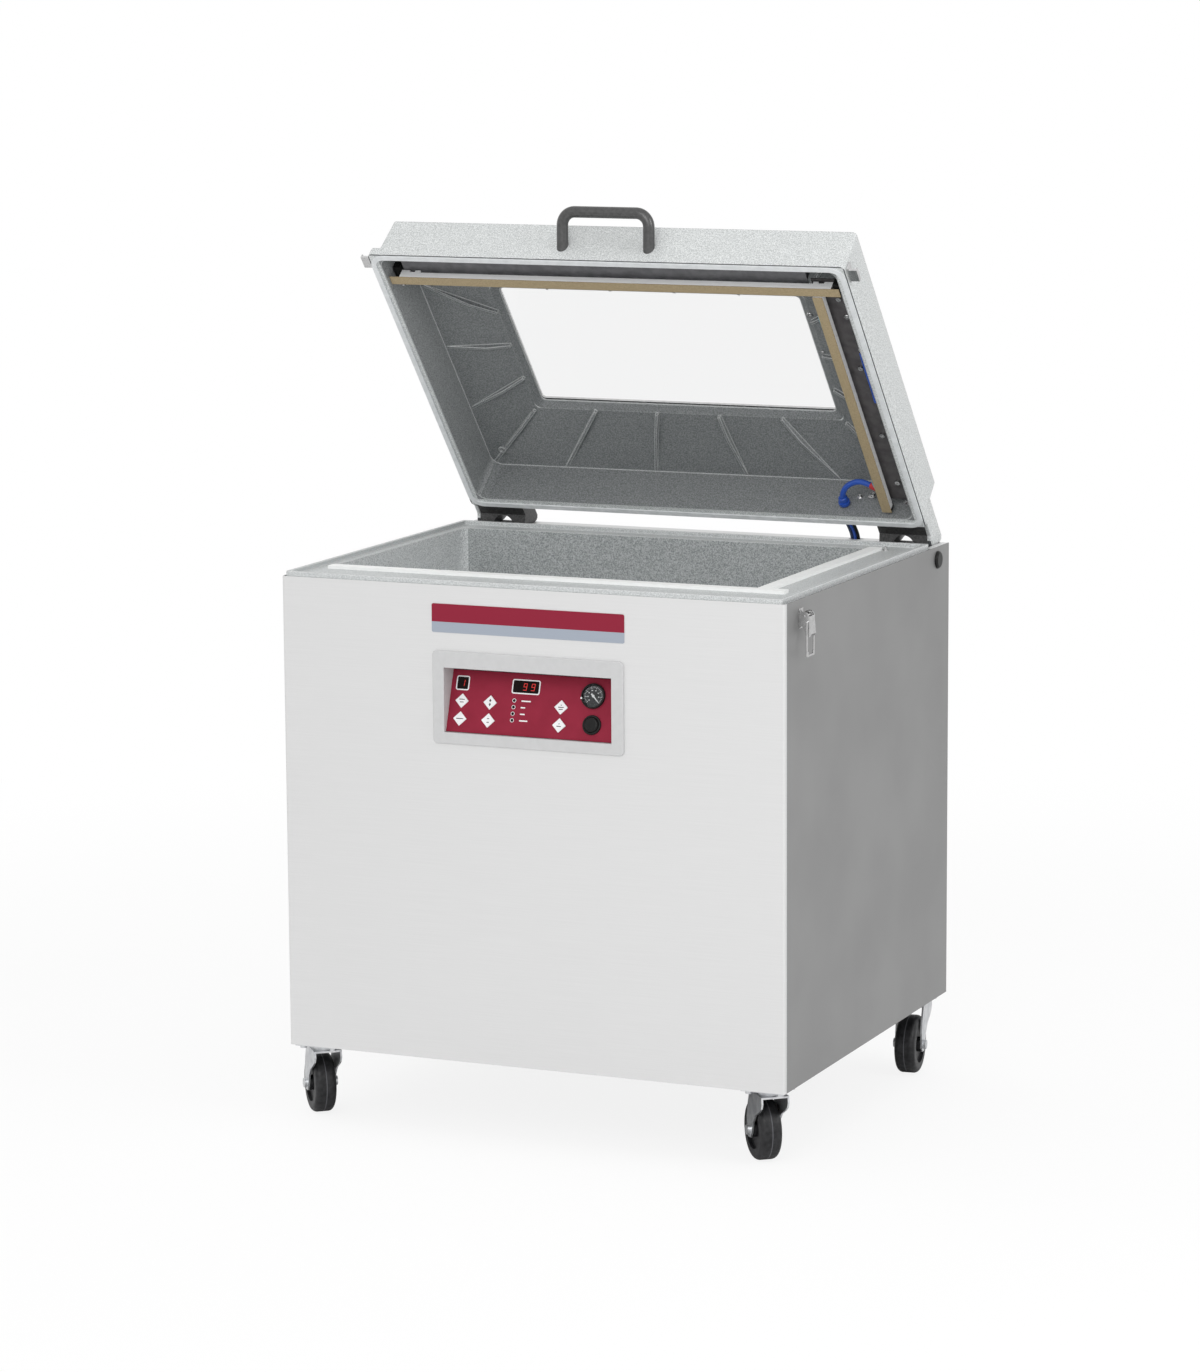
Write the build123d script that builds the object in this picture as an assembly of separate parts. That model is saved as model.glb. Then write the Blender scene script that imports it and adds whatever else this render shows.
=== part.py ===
from build123d import *
import math
import os

# Chamber vacuum packing machine on casters. Millimetres, +Z up, +Y towards the rear, lid open at rest.
# The origin is on the floor, under the middle of the cabinet.

# ---------------------------------------------------------------- cabinet
cabinet_width = 880
cabinet_depth = 764
cabinet_height = 784
caster_height = 128
sheet = 1.5
panel_return = 8
panel_corner = 4
seam = 0.3

bottom_z = caster_height
top_z = bottom_z + cabinet_height
side_x = cabinet_width / 2
front_y = -cabinet_depth / 2
rear_y = cabinet_depth / 2
inner_x = side_x - sheet
inner_front = front_y + sheet
inner_rear = rear_y - sheet

# ---------------------------------------------------------------- frame of square tube
tube = 30
tube_wall = 2
tube_corner = 2.6
chamber_rail_top = top_z - 46
pump_rail_front = -100
pump_rail_rear = 150
spring_rail_z = top_z - 337

# ---------------------------------------------------------------- hinge and lid angle
hinge_drop = 22
hinge_inset = 57
lid_open_angle = 49.6
shaft_radius = 10
running_gap = 0.05
hinge_y = rear_y - hinge_inset
hinge_z = top_z - hinge_drop

# ---------------------------------------------------------------- chamber casting
chamber_margin = 6
chamber_rim = 8
lip_width = 7
ledge_drop = 7
flange_thickness = 8
skirt_wall = 6
chamber_rear_y = rear_y - 84
tub_depth = 190
tub_wall = 8
tub_corner = 30
tub_floor_edge = 18
tub_left = 29 - side_x
tub_right = side_x - 95
tub_front = front_y + 120
tub_rear = rear_y - 125
port_radius = 12
port_x = 110 - side_x
port_y = rear_y - 192

chamber_x = side_x - chamber_margin
chamber_front = inner_front + 0.1
rim_z = top_z + chamber_rim
ledge_z = rim_z - ledge_drop
tub_floor_z = rim_z - tub_depth

# ---------------------------------------------------------------- counter bars
counter_width = 22
counter_height = 5
counter_x = side_x - 82
counter_y = front_y + 107
counter_left = 29 - side_x
counter_right = side_x - 40
counter_rear = rear_y - 136

# ---------------------------------------------------------------- lid casting, closed
gasket_gap = 0.3
gasket_height = 2.7
gasket_width = 9
gasket_margin = 1.5
gasket_corner = 25
lid_x = side_x - 16
lid_front = front_y + 41
lid_rear = rear_y - 107
lid_corner = 8
lid_flange = 16
lid_flange_step = 15
lid_wall_height = 80
lid_wall_draft = 3.5
lid_right_draft = 1
lid_wall = 7
lid_roof_rise = 34
roof_border = 95
window_x = lid_x - 152
window_front = lid_front + 177
window_rear = lid_rear - 168
window_bevel = 14
window_bevel_height = 9
window_lap = 20
pane_thickness = 8
frame_ring_height = 4
rib_thickness = 5
rib_depth = 9
cavity_corner = 20

lid_rim_z = ledge_z + gasket_gap + gasket_height
lid_edge_z = lid_rim_z + lid_wall_height
lid_top_z = lid_edge_z + lid_roof_rise
pane_z = lid_top_z - pane_thickness
crest_z = pane_z - window_bevel_height
cavity_wall = 18
fold_z = lid_edge_z - 9

# ---------------------------------------------------------------- handle
handle_diameter = 19
handle_spacing = 154
handle_leg = 57
handle_bend = 22
handle_height = lid_rim_z + 31

# ---------------------------------------------------------------- hinge arms
lead_diameter = 5.5
lead_end_gap = 1.2
arm_inner = side_x - 109
arm_outer = side_x - 22
arm_leg = 23.5
arm_boss = 14
arm_arch_height = 15
slot_front = hinge_y - 14
slot_rear = rear_y - 5
slot_side_gap = 3
bearing_width = 22
outer_bearing_width = 11
plug_radius = 15
plug_proud = 5

# ---------------------------------------------------------------- lid spring
crank_radius = 40
crank_angle = 10
crank_x = arm_inner - 81
crank_pin_radius = 4
spring_radius = 10
spring_wire = 3
spring_pitch = 9

# ---------------------------------------------------------------- seal bars
seal_travel = 4
press_gap = 0.3
seal_width = 17
tape_thickness = 1
seal_body_height = 11
seal_end_lift = 5
carrier_gap = 8
carrier_thickness = 2
post_radius = 4
slide_gap = 0.04
piston_radius = 10
piston_height = 24

# ---------------------------------------------------------------- control panel
bezel_x = -1
bezel_z = top_z - 182
bezel_proud = 4
bezel_corner = 8
mouth_width = 294
mouth_height = 106
bezel_width = mouth_width + 41
bezel_height = mouth_height + 46
mouth_drop = 4
pocket_wall = 3
plate_lean = 18
plate_thickness = 2
key_size = 23.5
key_proud = 0.8
key_gap = 0.25
key_travel = 0.5
key_foot = 1
key_columns = (21 - mouth_width / 2, 71 - mouth_width / 2, mouth_width / 2 - 98)
key_rows = (52, 22.7)
display_row = 81
digit_windows = ((19 - mouth_width / 2, 20), (-16, 46))
window_height = 20.5
lamp_x = -34
lamp_rows = (57.9, 47.2, 36.5, 25.8)
lamp_radius = 2.5
gauge_spot = (mouth_width / 2 - 44, 73.5)
gauge_radius = 20.5
gauge_case_radius = 18.5
gauge_proud = 5
button_spot = (mouth_width / 2 - 41, 27)
button_radius = 12.5
button_proud = 6
button_travel = 3.5
collar_radius = 16
strip_width = bezel_width + 2
strip_height = 46.5
strip_z = top_z - 53.5
strip_thickness = 1
board_thickness = 1.6
gear_height = 180
gear_depth = 180
gear_wall = 2

# ---------------------------------------------------------------- latches
latch_y = front_y + 65
latch_width = 26
lever_pivot = (11, top_z - 26)
bail_pivot = (17, top_z - 34)
lever_swing = 150
bail_swing = 202
bail_length = 54
bail_wire = 1.5
pivot_radius = 2
latch_sheet = 1.5
keeper_z = rim_z + 1

# ---------------------------------------------------------------- casters
caster_x = side_x - 42
caster_y = rear_y - 42
caster_trail = 35
wheel_radius = 50
wheel_width = 36
axle_radius = 6
fork_sheet = 3
fork_gap = 2.5
plate_length = 95
plate_width = 76
mount_plate = 4
swivel_height = 7
kingpin_radius = 8
swivel_angles = {"front_left": 40, "front_right": 40, "rear_left": 172, "rear_right": 186.5}


# ================================================================ helpers
def block(x0, x1, y0, y1, z0, z1):
    """A box between two corners."""
    return Pos((x0 + x1) / 2, (y0 + y1) / 2, (z0 + z1) / 2) * Box(abs(x1 - x0), abs(y1 - y0), abs(z1 - z0))


def round_block(x0, x1, y0, y1, z0, z1, radius):
    """A box whose four upright edges are rounded."""
    outline = RectangleRounded(x1 - x0, y1 - y0, radius)
    return extrude(Pos((x0 + x1) / 2, (y0 + y1) / 2, z0) * outline, z1 - z0)


def taper_block(low, high, z0, z1, radius):
    """A rounded box that changes from the low outline to the high one; outlines are x, x, y, y."""
    faces = []
    for (x0, x1, y0, y1), z in ((low, z0), (high, z1)):
        faces.append(Pos((x0 + x1) / 2, (y0 + y1) / 2, z) * RectangleRounded(x1 - x0, y1 - y0, radius))
    return loft(faces)


def rod_x(x0, x1, y, z, radius):
    return Pos((x0 + x1) / 2, y, z) * Rot(0, 90, 0) * Cylinder(radius, abs(x1 - x0))


def rod_y(x, y0, y1, z, radius):
    return Pos(x, (y0 + y1) / 2, z) * Rot(90, 0, 0) * Cylinder(radius, abs(y1 - y0))


def rod_z(x, y, z0, z1, radius):
    return Pos(x, y, (z0 + z1) / 2) * Cylinder(radius, abs(z1 - z0))


def side_profile(points, x0, x1):
    """A prism along X from a closed outline in Y and Z."""
    outline = make_face(Polyline(*[(x0, y, z) for y, z in points], close=True))
    return extrude(outline, x1 - x0, dir=(1, 0, 0))


def group(*solids):
    return Compound(children=list(solids))


def mirrored(shape):
    return mirror(shape, about=Plane.YZ)


def both_sides(shape):
    return group(shape, mirrored(shape))


def opened(shape):
    """Turns a piece of the closed lid to its open place."""
    axis = Axis((0, hinge_y, hinge_z), (1, 0, 0))
    return shape.rotate(axis, -lid_open_angle)


def save(name, shape):
    export_step(shape, f"parts/{name}.step")


# ================================================================ cabinet
def hollow_tube(x0, x1, y0, y1, z0, z1):
    """A square tube; its longest side is its run."""
    spans = (x1 - x0, y1 - y0, z1 - z0)
    run = spans.index(max(spans))
    inset = [tube_wall, tube_wall, tube_wall]
    inset[run] = 0
    bore = block(x0 + inset[0], x1 - inset[0], y0 + inset[1], y1 - inset[1], z0 + inset[2], z1 - inset[2])
    return block(x0, x1, y0, y1, z0, z1) - bore


def base_frame():
    low, high = bottom_z, bottom_z + tube
    rail_low = chamber_rail_top - tube
    inset_x, inset_front, inset_rear = inner_x - tube, inner_front + tube, inner_rear - tube
    frame = hollow_tube(-inset_x, inset_x, inner_front, inset_front, low, high)
    frame += hollow_tube(-inset_x, inset_x, inset_rear, inner_rear, low, high)
    for side in (-1, 1):
        x0, x1 = sorted((side * inset_x, side * inner_x))
        frame += hollow_tube(x0, x1, inset_front, inset_rear, low, high)
        frame += hollow_tube(x0, x1, inner_front, inset_front, low, chamber_rail_top)
        frame += hollow_tube(x0, x1, inset_rear, inner_rear, low, rail_low)
        frame += hollow_tube(x0, x1, chamber_rear_y - 2, inner_rear, rail_low, chamber_rail_top)
    frame += hollow_tube(-inset_x, inset_x, inner_front, inset_front, rail_low, chamber_rail_top)
    rail_y = chamber_rear_y - 2
    frame += hollow_tube(-inset_x, inset_x, rail_y, rail_y + tube, rail_low, chamber_rail_top)
    frame += hollow_tube(-inset_x, inset_x, inset_rear, inner_rear, spring_rail_z - tube, spring_rail_z)
    for rail in (pump_rail_front, pump_rail_rear):
        frame += hollow_tube(-inset_x, inset_x, rail - tube / 2, rail + tube / 2, low, high)
    for side in (-1, 1):
        x = side * inner_x
        bevel = make_face(Polyline((x, inner_front, low), (x - side * tube_corner, inner_front, low),
                                   (x, inner_front + tube_corner, low), close=True))
        frame -= extrude(bevel, chamber_rail_top - low, dir=(0, 0, 1))
    return frame


def front_panel():
    depth = front_y + panel_return
    shell = block(-side_x, side_x, front_y, depth, bottom_z, top_z)
    shell = fillet(shell.edges().filter_by(Axis.Z).group_by(Axis.Y)[0], panel_corner)
    hollow = block(-inner_x, inner_x, inner_front, depth, bottom_z, top_z)
    hollow = fillet(hollow.edges().filter_by(Axis.Z).group_by(Axis.Y)[0], panel_corner - sheet)
    return shell - hollow - pocket_body(seam)


def side_panel():
    panel = block(inner_x, side_x, front_y + panel_return + seam, rear_y, bottom_z, top_z)
    return panel - rod_x(inner_x - 1, side_x + 1, hinge_y, hinge_z, plug_radius - 3)


def rear_cover():
    """The rear sheet, folded forward at its top into the deck behind the chamber."""
    width = inner_x - seam
    cover = block(-width, width, inner_rear, rear_y, bottom_z, top_z)
    cover += block(-width, width, chamber_rear_y + seam, rear_y, top_z - sheet, top_z)
    for side in (-1, 1):
        x0, x1 = sorted((side * (arm_inner - slot_side_gap), side * (lid_x + slot_side_gap)))
        cover -= block(x0, x1, slot_front, slot_rear, top_z - 2 * sheet, top_z + sheet)
    cable_x, cable_y = cable_slot_centre()
    cover -= block(cable_x - 13, cable_x + 13, cable_y - 5, cable_y + 5, top_z - 2 * sheet, top_z + sheet)
    vent_width, vent_height, vent_pitch = 120, 5, 16
    for column in (-220, 0, 220):
        for row in range(8):
            z = bottom_z + 120 + row * vent_pitch
            x0, x1 = column - vent_width / 2, column + vent_width / 2
            cover -= block(x0, x1, inner_rear - sheet, rear_y + sheet, z, z + vent_height)
    return cover


def cable_slot_centre():
    return arm_inner - 55, rear_y - 11


def chamber():
    outer = (-chamber_x, chamber_x, chamber_front, chamber_rear_y)
    body = round_block(*outer, ledge_z - flange_thickness, rim_z, 4)
    lip = (outer[0] + lip_width, outer[1] - lip_width, outer[2] + lip_width, outer[3] - lip_width)
    body -= round_block(*lip, ledge_z, rim_z, 6)
    skirt = block(*outer, chamber_rail_top, ledge_z - flange_thickness)
    skirt -= block(outer[0] + skirt_wall, outer[1] - skirt_wall, outer[2] + skirt_wall,
                   outer[3] - skirt_wall, chamber_rail_top, ledge_z - flange_thickness)
    body += skirt
    tub = (tub_left, tub_right, tub_front, tub_rear)
    shell = (tub_left - tub_wall, tub_right + tub_wall, tub_front - tub_wall, tub_rear + tub_wall)
    body += round_block(*shell, tub_floor_z - tub_wall, ledge_z, tub_corner + tub_wall)
    hollow = round_block(*tub, tub_floor_z, ledge_z, tub_corner)
    hollow = fillet(hollow.edges().group_by(Axis.Z)[0], tub_floor_edge)
    body -= hollow
    nozzle = 20
    body += rod_z(port_x, port_y, tub_floor_z - tub_wall - nozzle, tub_floor_z - tub_wall, port_radius + 5)
    body -= rod_z(port_x, port_y, tub_floor_z - tub_wall - nozzle, tub_floor_z, port_radius)
    return body


def counter_bars():
    half = counter_width / 2
    front_bar = block(counter_left + 6, counter_right, counter_y - half, counter_y + half,
                      ledge_z, ledge_z + counter_height)
    side_bar = block(counter_x - half, counter_x + half, counter_y + half + 1, counter_rear,
                     ledge_z, ledge_z + counter_height)
    return group(front_bar, side_bar)


def hinge_bearings():
    """Two bearing blocks a side that carry the hinge shaft."""
    blocks = []
    rail_front = chamber_rear_y + 1
    for x0, width in ((arm_inner - 11 - bearing_width, bearing_width),
                      (inner_x - 1 - outer_bearing_width, outer_bearing_width)):
        body = block(x0, x0 + width, rail_front, hinge_y + 18, chamber_rail_top, hinge_z + 15)
        top_edges = body.edges().filter_by(Axis.X).group_by(Axis.Z)[-1]
        body = fillet(top_edges, 10)
        body -= rod_x(x0 - 1, x0 + width + 1, hinge_y, hinge_z, shaft_radius + running_gap)
        blocks += [body, mirrored(body)]
    return group(*blocks)


def side_plugs():
    stem = rod_x(inner_x, side_x, hinge_y, hinge_z, plug_radius - 3)
    head = rod_x(side_x, side_x + plug_proud, hinge_y, hinge_z, plug_radius)
    head = fillet(head.edges().group_by(Axis.X)[-1], plug_proud - 1)
    return both_sides(stem + head)


def lid_springs():
    """Two coil springs from the frame's rear rail up to the cranks."""
    pin_y, pin_z = crank_pin(-lid_open_angle)
    low, high = spring_rail_z + 16, pin_z - 14
    coil_path = Helix(spring_pitch, high - low, spring_radius, center=(crank_x, pin_y, low))
    wire_start = coil_path @ 0
    wire = sweep(Plane(origin=wire_start, z_dir=coil_path % 0) * Circle(spring_wire / 2), path=coil_path)
    hook_low = rod_z(crank_x + spring_radius, pin_y, spring_rail_z, low + 2, spring_wire / 2)
    eye_radius = crank_pin_radius + seam + spring_wire / 2
    eye = Pos(crank_x + spring_radius, pin_y, pin_z) * Rot(0, 90, 0) * Torus(eye_radius, spring_wire / 2)
    hook_high = rod_z(crank_x + spring_radius, pin_y, high - 2, pin_z - eye_radius, spring_wire / 2)
    spring = group(wire, hook_low, hook_high + eye)
    return group(spring, mirrored(spring))


def crank_pin(turn):
    angle = math.radians(crank_angle + turn)
    return hinge_y + crank_radius * math.cos(angle), hinge_z + crank_radius * math.sin(angle)


# ================================================================ control panel
def panel_plane():
    """Plane of the leaning keypad: X along the machine, Y up the plate, Z out of its face."""
    lean = math.radians(plate_lean)
    origin = (0, front_y + 2, bezel_z - mouth_drop - mouth_height / 2)
    return Plane(origin=origin, x_dir=(1, 0, 0), z_dir=(0, -math.cos(lean), math.sin(lean)))


def on_panel(shape):
    return panel_plane().location * shape


def keypad_length():
    return mouth_height / math.cos(math.radians(plate_lean)) - 8


def pocket_body(gap=0.0):
    """The block behind the bezel that the keypad recess is cut into."""
    half = mouth_width / 2 + pocket_wall + gap
    low = bezel_z - mouth_drop - mouth_height / 2 - pocket_wall - gap
    high = bezel_z - mouth_drop + mouth_height / 2 + pocket_wall + gap
    return block(bezel_x - half, bezel_x + half, front_y - 1, front_y + 52, low, high)


def recess_space():
    """Open space in front of the keypad, and the room for its works behind the plate."""
    half = mouth_width / 2
    low = bezel_z - mouth_drop - mouth_height / 2
    high = low + mouth_height
    lean = math.radians(plate_lean)
    back = front_y + 2 + keypad_length() * math.sin(lean)
    top = low + keypad_length() * math.cos(lean)
    outline = [(front_y - bezel_proud - 1, low), (front_y + 2, low), (back, top), (front_y - bezel_proud - 1, high)]
    return side_profile(outline, bezel_x - half, bezel_x + half)


def control_bezel():
    x0, x1 = bezel_x - bezel_width / 2, bezel_x + bezel_width / 2
    z0, z1 = bezel_z - bezel_height / 2, bezel_z + bezel_height / 2
    ring = extrude(Plane.XZ * RectangleRounded(bezel_width, bezel_height, bezel_corner), bezel_proud)
    ring = Pos(bezel_x, front_y, bezel_z) * ring
    ring = fillet(ring.edges().group_by(Axis.Y)[0], 2)
    body = ring + pocket_body()
    body -= recess_space()
    half = mouth_width / 2
    behind = Pos(bezel_x, 0, -40) * Box(2 * half, 3 * keypad_length(), 80)
    works = on_panel(Pos(0, keypad_length() / 2, 0) * behind)
    inner_low = bezel_z - mouth_drop - mouth_height / 2
    limit = block(x0, x1, front_y + sheet, front_y + 60, inner_low, z1)
    body -= works & limit
    return body


def rhombus(size, low, high):
    outline = make_face(Polyline((0, -size / 2), (size / 2, 0), (0, size / 2), (-size / 2, 0), close=True))
    return extrude(Pos(0, 0, low) * outline, high - low)


def key_spots():
    return [(x, row) for x in key_columns for row in key_rows]


def keypad_panel():
    half = mouth_width / 2
    length = keypad_length() - 2
    plate = Pos(bezel_x, keypad_length() / 2, -plate_thickness / 2) * Box(2 * half, length, plate_thickness)
    for x, row in key_spots():
        plate -= Pos(x, row, 0) * rhombus(key_size + 2 * key_gap, -plate_thickness - 1, 1)
    for x, width in digit_windows:
        plate -= Pos(x, display_row, 0) * Box(width, window_height, 3 * plate_thickness)
    for row in lamp_rows:
        plate -= Pos(lamp_x, row, 0) * Cylinder(lamp_radius + 0.1, 3 * plate_thickness)
    plate -= Pos(*gauge_spot, 0) * Cylinder(gauge_case_radius + 0.1, 3 * plate_thickness)
    plate -= Pos(*button_spot, 0) * Cylinder(button_radius + 0.5, 3 * plate_thickness)
    return on_panel(plate)


def key(x, row):
    stem = rhombus(key_size, -plate_thickness - key_foot / 2, key_proud)
    foot = Pos(0, 0, -plate_thickness - 0.05 - key_foot / 2) * Cylinder(key_size * 0.55, key_foot)
    return on_panel(Pos(x, row, 0) * (stem + foot))


def indicator_windows():
    """Two digit windows and four indicator lamps, each let into the plate."""
    pieces = []
    for x, width in digit_windows:
        pieces.append(Pos(x, display_row, 0.4 - 1.2) * Box(width, window_height, 2.4))
    for row in lamp_rows:
        pieces.append(Pos(lamp_x, row, -1) * Cylinder(lamp_radius, 3))
    return group(*[on_panel(piece) for piece in pieces])


def gauge_body():
    case = Pos(0, 0, -10) * Cylinder(gauge_case_radius, 20)
    rim = Pos(0, 0, gauge_proud / 2) * Cylinder(gauge_radius, gauge_proud)
    rim = fillet(rim.edges().group_by(Axis.Z)[-1], 1.5)
    cup = Pos(0, 0, gauge_proud / 2) * Cylinder(gauge_radius - 2.5, gauge_proud)
    floor = Pos(0, 0, 0.5) * Cylinder(gauge_radius - 2.5, 1)
    body = case + (rim - cup) + floor
    body -= Pos(0, 0, 0) * Cylinder(0.8 + running_gap, 4)
    stem = Pos(0, 0, -26) * Cylinder(5, 12)
    return on_panel(Pos(*gauge_spot, 0) * (body + stem))


def gauge_glass():
    glass = Pos(0, 0, gauge_proud - 1) * Cylinder(gauge_radius - 2.5, 1)
    return on_panel(Pos(*gauge_spot, 0) * glass)


def gauge_needle():
    """A tapered needle on a pin, standing at about a quarter before the end of its scale."""
    blade = make_face(Polyline((-1.4, -5), (1.4, -5), (0.5, 13.5), (-0.5, 13.5), close=True))
    blade = extrude(Pos(0, 0, 1.6) * blade, 0.5)
    hub = Pos(0, 0, 1.9) * Cylinder(2.2, 1.2)
    pin = Pos(0, 0, 0.5) * Cylinder(0.8, 2.4)
    needle = Rot(0, 0, -135) * (blade + hub + pin)
    return on_panel(Pos(*gauge_spot, 0) * needle)


def button_collar():
    collar = Pos(0, 0, 1.5) * Cylinder(collar_radius, 3)
    collar = fillet(collar.edges().group_by(Axis.Z)[-1], 1.5)
    collar -= Cylinder(button_radius + 0.5, 12)
    sleeve = Pos(0, 0, -12) * (Cylinder(button_radius + 3, 20) - Cylinder(button_radius + 0.5, 20))
    return on_panel(Pos(*button_spot, 0) * (collar + sleeve))


def power_button():
    cap = Pos(0, 0, button_proud - 7) * Cylinder(button_radius, 14)
    cap = fillet(cap.edges().group_by(Axis.Z)[-1], 4)
    return on_panel(Pos(*button_spot, 0) * cap)


def control_box():
    """Circuit board on four posts behind the keypad, and the switch gear box on the cabinet's floor rail."""
    board_depth = -plate_thickness - key_foot - key_travel - 0.9
    left, right = 2 - mouth_width / 2, mouth_width / 2 - 82
    board = Box(right - left, keypad_length() - 14, board_thickness)
    board = Pos((left + right) / 2, keypad_length() / 2, board_depth - board_thickness / 2) * board
    posts = []
    for x in (left + 3, right - 3):
        for row in (8, keypad_length() - 8):
            length = -plate_thickness - board_depth
            posts.append(Pos(x, row, -plate_thickness - length / 2) * Cylinder(2.5, length))
    domes = [Pos(x, row, board_depth + 0.4) * Cylinder(3, 0.8) for x, row in key_spots()]
    board_pieces = board
    for piece in posts + domes:
        board_pieces += piece
    low, high = bottom_z + tube, bottom_z + tube + gear_height
    x0, x1 = tube + 8 - inner_x, pump_left - 30
    y0, y1 = pump_rail_front - gear_depth / 2, pump_rail_front + gear_depth / 2
    gear = block(x0, x1, y0, y1, low, high)
    gear = fillet(gear.edges().filter_by(Axis.Z), 4)
    gear -= block(x0 + gear_wall, x1 - gear_wall, y0 + gear_wall, y1 - gear_wall, low + gear_wall, high - gear_wall)
    return group(on_panel(board_pieces), gear)


def label_strip():
    plate = extrude(Plane.XZ * RectangleRounded(strip_width, strip_height, 3), strip_thickness)
    return Pos(bezel_x, front_y, strip_z) * plate


# ================================================================ pump
pump_foot = 25
pump_foot_radius = 20
pump_plate = 10
pump_left = -260
pump_right = 290
pump_body_length = 260
pump_body_depth = 270
pump_body_height = 190
pump_wall = 18
exhaust_length = 210
exhaust_depth = 150
exhaust_height = 60
motor_radius = 84
motor_length = 220
motor_fan_length = 45
shaft_rise = 100
pump_floor_z = bottom_z + tube + pump_foot


def pump_feet():
    feet = []
    for x in (pump_left + 30, pump_right - 60):
        for y in (pump_rail_front, pump_rail_rear):
            feet.append(rod_z(x, y, bottom_z + tube, pump_floor_z, pump_foot_radius))
    return group(*feet)


def vacuum_pump():
    """Rotary vane pump on its base plate: block, exhaust box, oil glass and inlet nipple."""
    base = block(pump_left, pump_right, pump_rail_front - 25, pump_rail_rear + 25,
                 pump_floor_z, pump_floor_z + pump_plate)
    z0 = pump_floor_z + pump_plate
    top = z0 + pump_body_height
    x0, y0 = pump_left + 10, pump_rail_front - 10
    x1, y1 = x0 + pump_body_length, y0 + pump_body_depth
    body = block(x0, x1, y0, y1, z0, top)
    body = fillet(body.edges().filter_by(Axis.Y), 18)
    body -= block(x0 + pump_wall + 2, x1 - pump_wall - 2, y0 + pump_wall, y1 - pump_wall,
                  z0 + pump_wall - 2, top - pump_wall)
    for number in range(6):
        x = x0 + 35 + number * 38
        body += block(x, x + 8, y0 - 6, y0 + 1, z0 + 20, top - 20)
        body += block(x, x + 8, y1 - 1, y1 + 6, z0 + 20, top - 20)
    lid_box = block(x0 + 10, x0 + 10 + exhaust_length, y0 + 20, y0 + 20 + exhaust_depth, top - 5, top + exhaust_height)
    lid_box = fillet(lid_box.edges().filter_by(Axis.Z), 14)
    glass = rod_y(x1 - 70, y0 - 16, y0 + 2, z0 + 60, 17)
    nipple_x, nipple_y = pump_inlet()
    nipple = rod_z(nipple_x, nipple_y, top - 10, top + 35, 16)
    return base + body + lid_box + glass + nipple


def pump_inlet():
    return pump_left + 45, pump_rail_rear - 40


def pump_motor():
    """Finned motor bolted to the pump's flange."""
    z = pump_floor_z + pump_plate + shaft_rise
    y = (pump_rail_front + pump_rail_rear) / 2
    x0 = pump_left + 10 + pump_body_length
    x1 = x0 + motor_length
    body = rod_x(x0, x1, y, z, motor_radius)
    for number in range(20):
        turn = number * 18
        fin = Box(motor_length - 40, 4, 14)
        body += Pos((x0 + x1) / 2 + 5, y, z) * Rot(turn, 0, 0) * (Pos(0, 0, motor_radius + 2) * fin)
    body += rod_x(x1, x1 + motor_fan_length, y, z, motor_radius + 8)
    body += block(x0 + 60, x0 + 150, y - 45, y + 45, z + motor_radius - 4, z + motor_radius + 38)
    body += block(x0 + 20, x1 - 10, y - 60, y + 60, pump_floor_z + pump_plate, z - 60)
    return body


def vacuum_hose():
    """Reinforced hose from the pump's inlet to the port under the chamber."""
    start = (*pump_inlet(), pump_floor_z + pump_plate + pump_body_height + 35)
    end = (port_x, port_y, tub_floor_z - tub_wall - 20)
    drop = 90
    points = [start, (start[0], start[1], start[2] + drop), (end[0], end[1], end[2] - drop), end]
    path = FilletPolyline(*points, radius=70)
    section = Plane(origin=path @ 0, z_dir=path % 0) * Circle(19)
    return sweep(section, path=path)


# ================================================================ lid
def lid_outline(inset, rear_extra=0.0, front_extra=0.0):
    return (-lid_x + inset, lid_x - inset, lid_front + front_extra, lid_rear - rear_extra)


def roof_outline():
    return (-lid_x + 18 + roof_border, lid_x - 18 - roof_border, window_front - window_lap - 18,
            window_rear + window_lap + 18)


def crest_outline():
    reach = window_bevel
    return (-window_x - reach, window_x + reach, window_front - reach, window_rear + reach)


def cavity_outline(height):
    """Inside of the lid's walls: 0 at the rim, 1 at the fold between wall and ceiling."""
    side = lid_x - cavity_wall - 9 * height
    return (-side, side, lid_front + 10 + 5 * height, lid_rear - 18 - 15 * height)


def rear_wall(z):
    """Outer face of the lid's rear wall at a height."""
    rise = (z - lid_rim_z - lid_flange) / (lid_wall_height - lid_flange)
    return lid_rear - lid_flange_step - 2 - lid_wall_draft * rise


def lid_casting():
    flange_top = lid_rim_z + lid_flange
    shell = round_block(*lid_outline(0), lid_rim_z, flange_top, lid_corner)
    step = lid_flange_step
    low = lid_outline(step, rear_extra=step + 2)
    high = lid_outline(step + lid_wall_draft, rear_extra=step + 2 + lid_wall_draft)
    low = (low[0], lid_x, *low[2:])
    high = (high[0], lid_x - lid_right_draft, *high[2:])
    shell += taper_block(low, high, flange_top, lid_edge_z, lid_corner)
    shell += taper_block(high, roof_outline(), lid_edge_z, lid_top_z, lid_corner)
    shell -= taper_block(cavity_outline(0), cavity_outline(1), lid_rim_z, fold_z, cavity_corner)
    shell -= taper_block(cavity_outline(1), crest_outline(), fold_z, crest_z, cavity_corner - 6)
    window = (-window_x, window_x, window_front, window_rear)
    shell -= taper_block(crest_outline(), window, crest_z, pane_z, 8)
    shell -= round_block(*pane_outline(seam), pane_z, lid_top_z, 8)
    for rib in lid_ribs():
        shell += rib
    for side in (-1, 1):
        x0, x1 = sorted((side * arm_outer, side * lid_x))
        shell += side_profile(ear_outline(), x0, x1)
    return shell


def pane_outline(gap=0.0):
    reach = window_lap + gap
    return (-window_x - reach, window_x + reach, window_front - reach, window_rear + reach)


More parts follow.
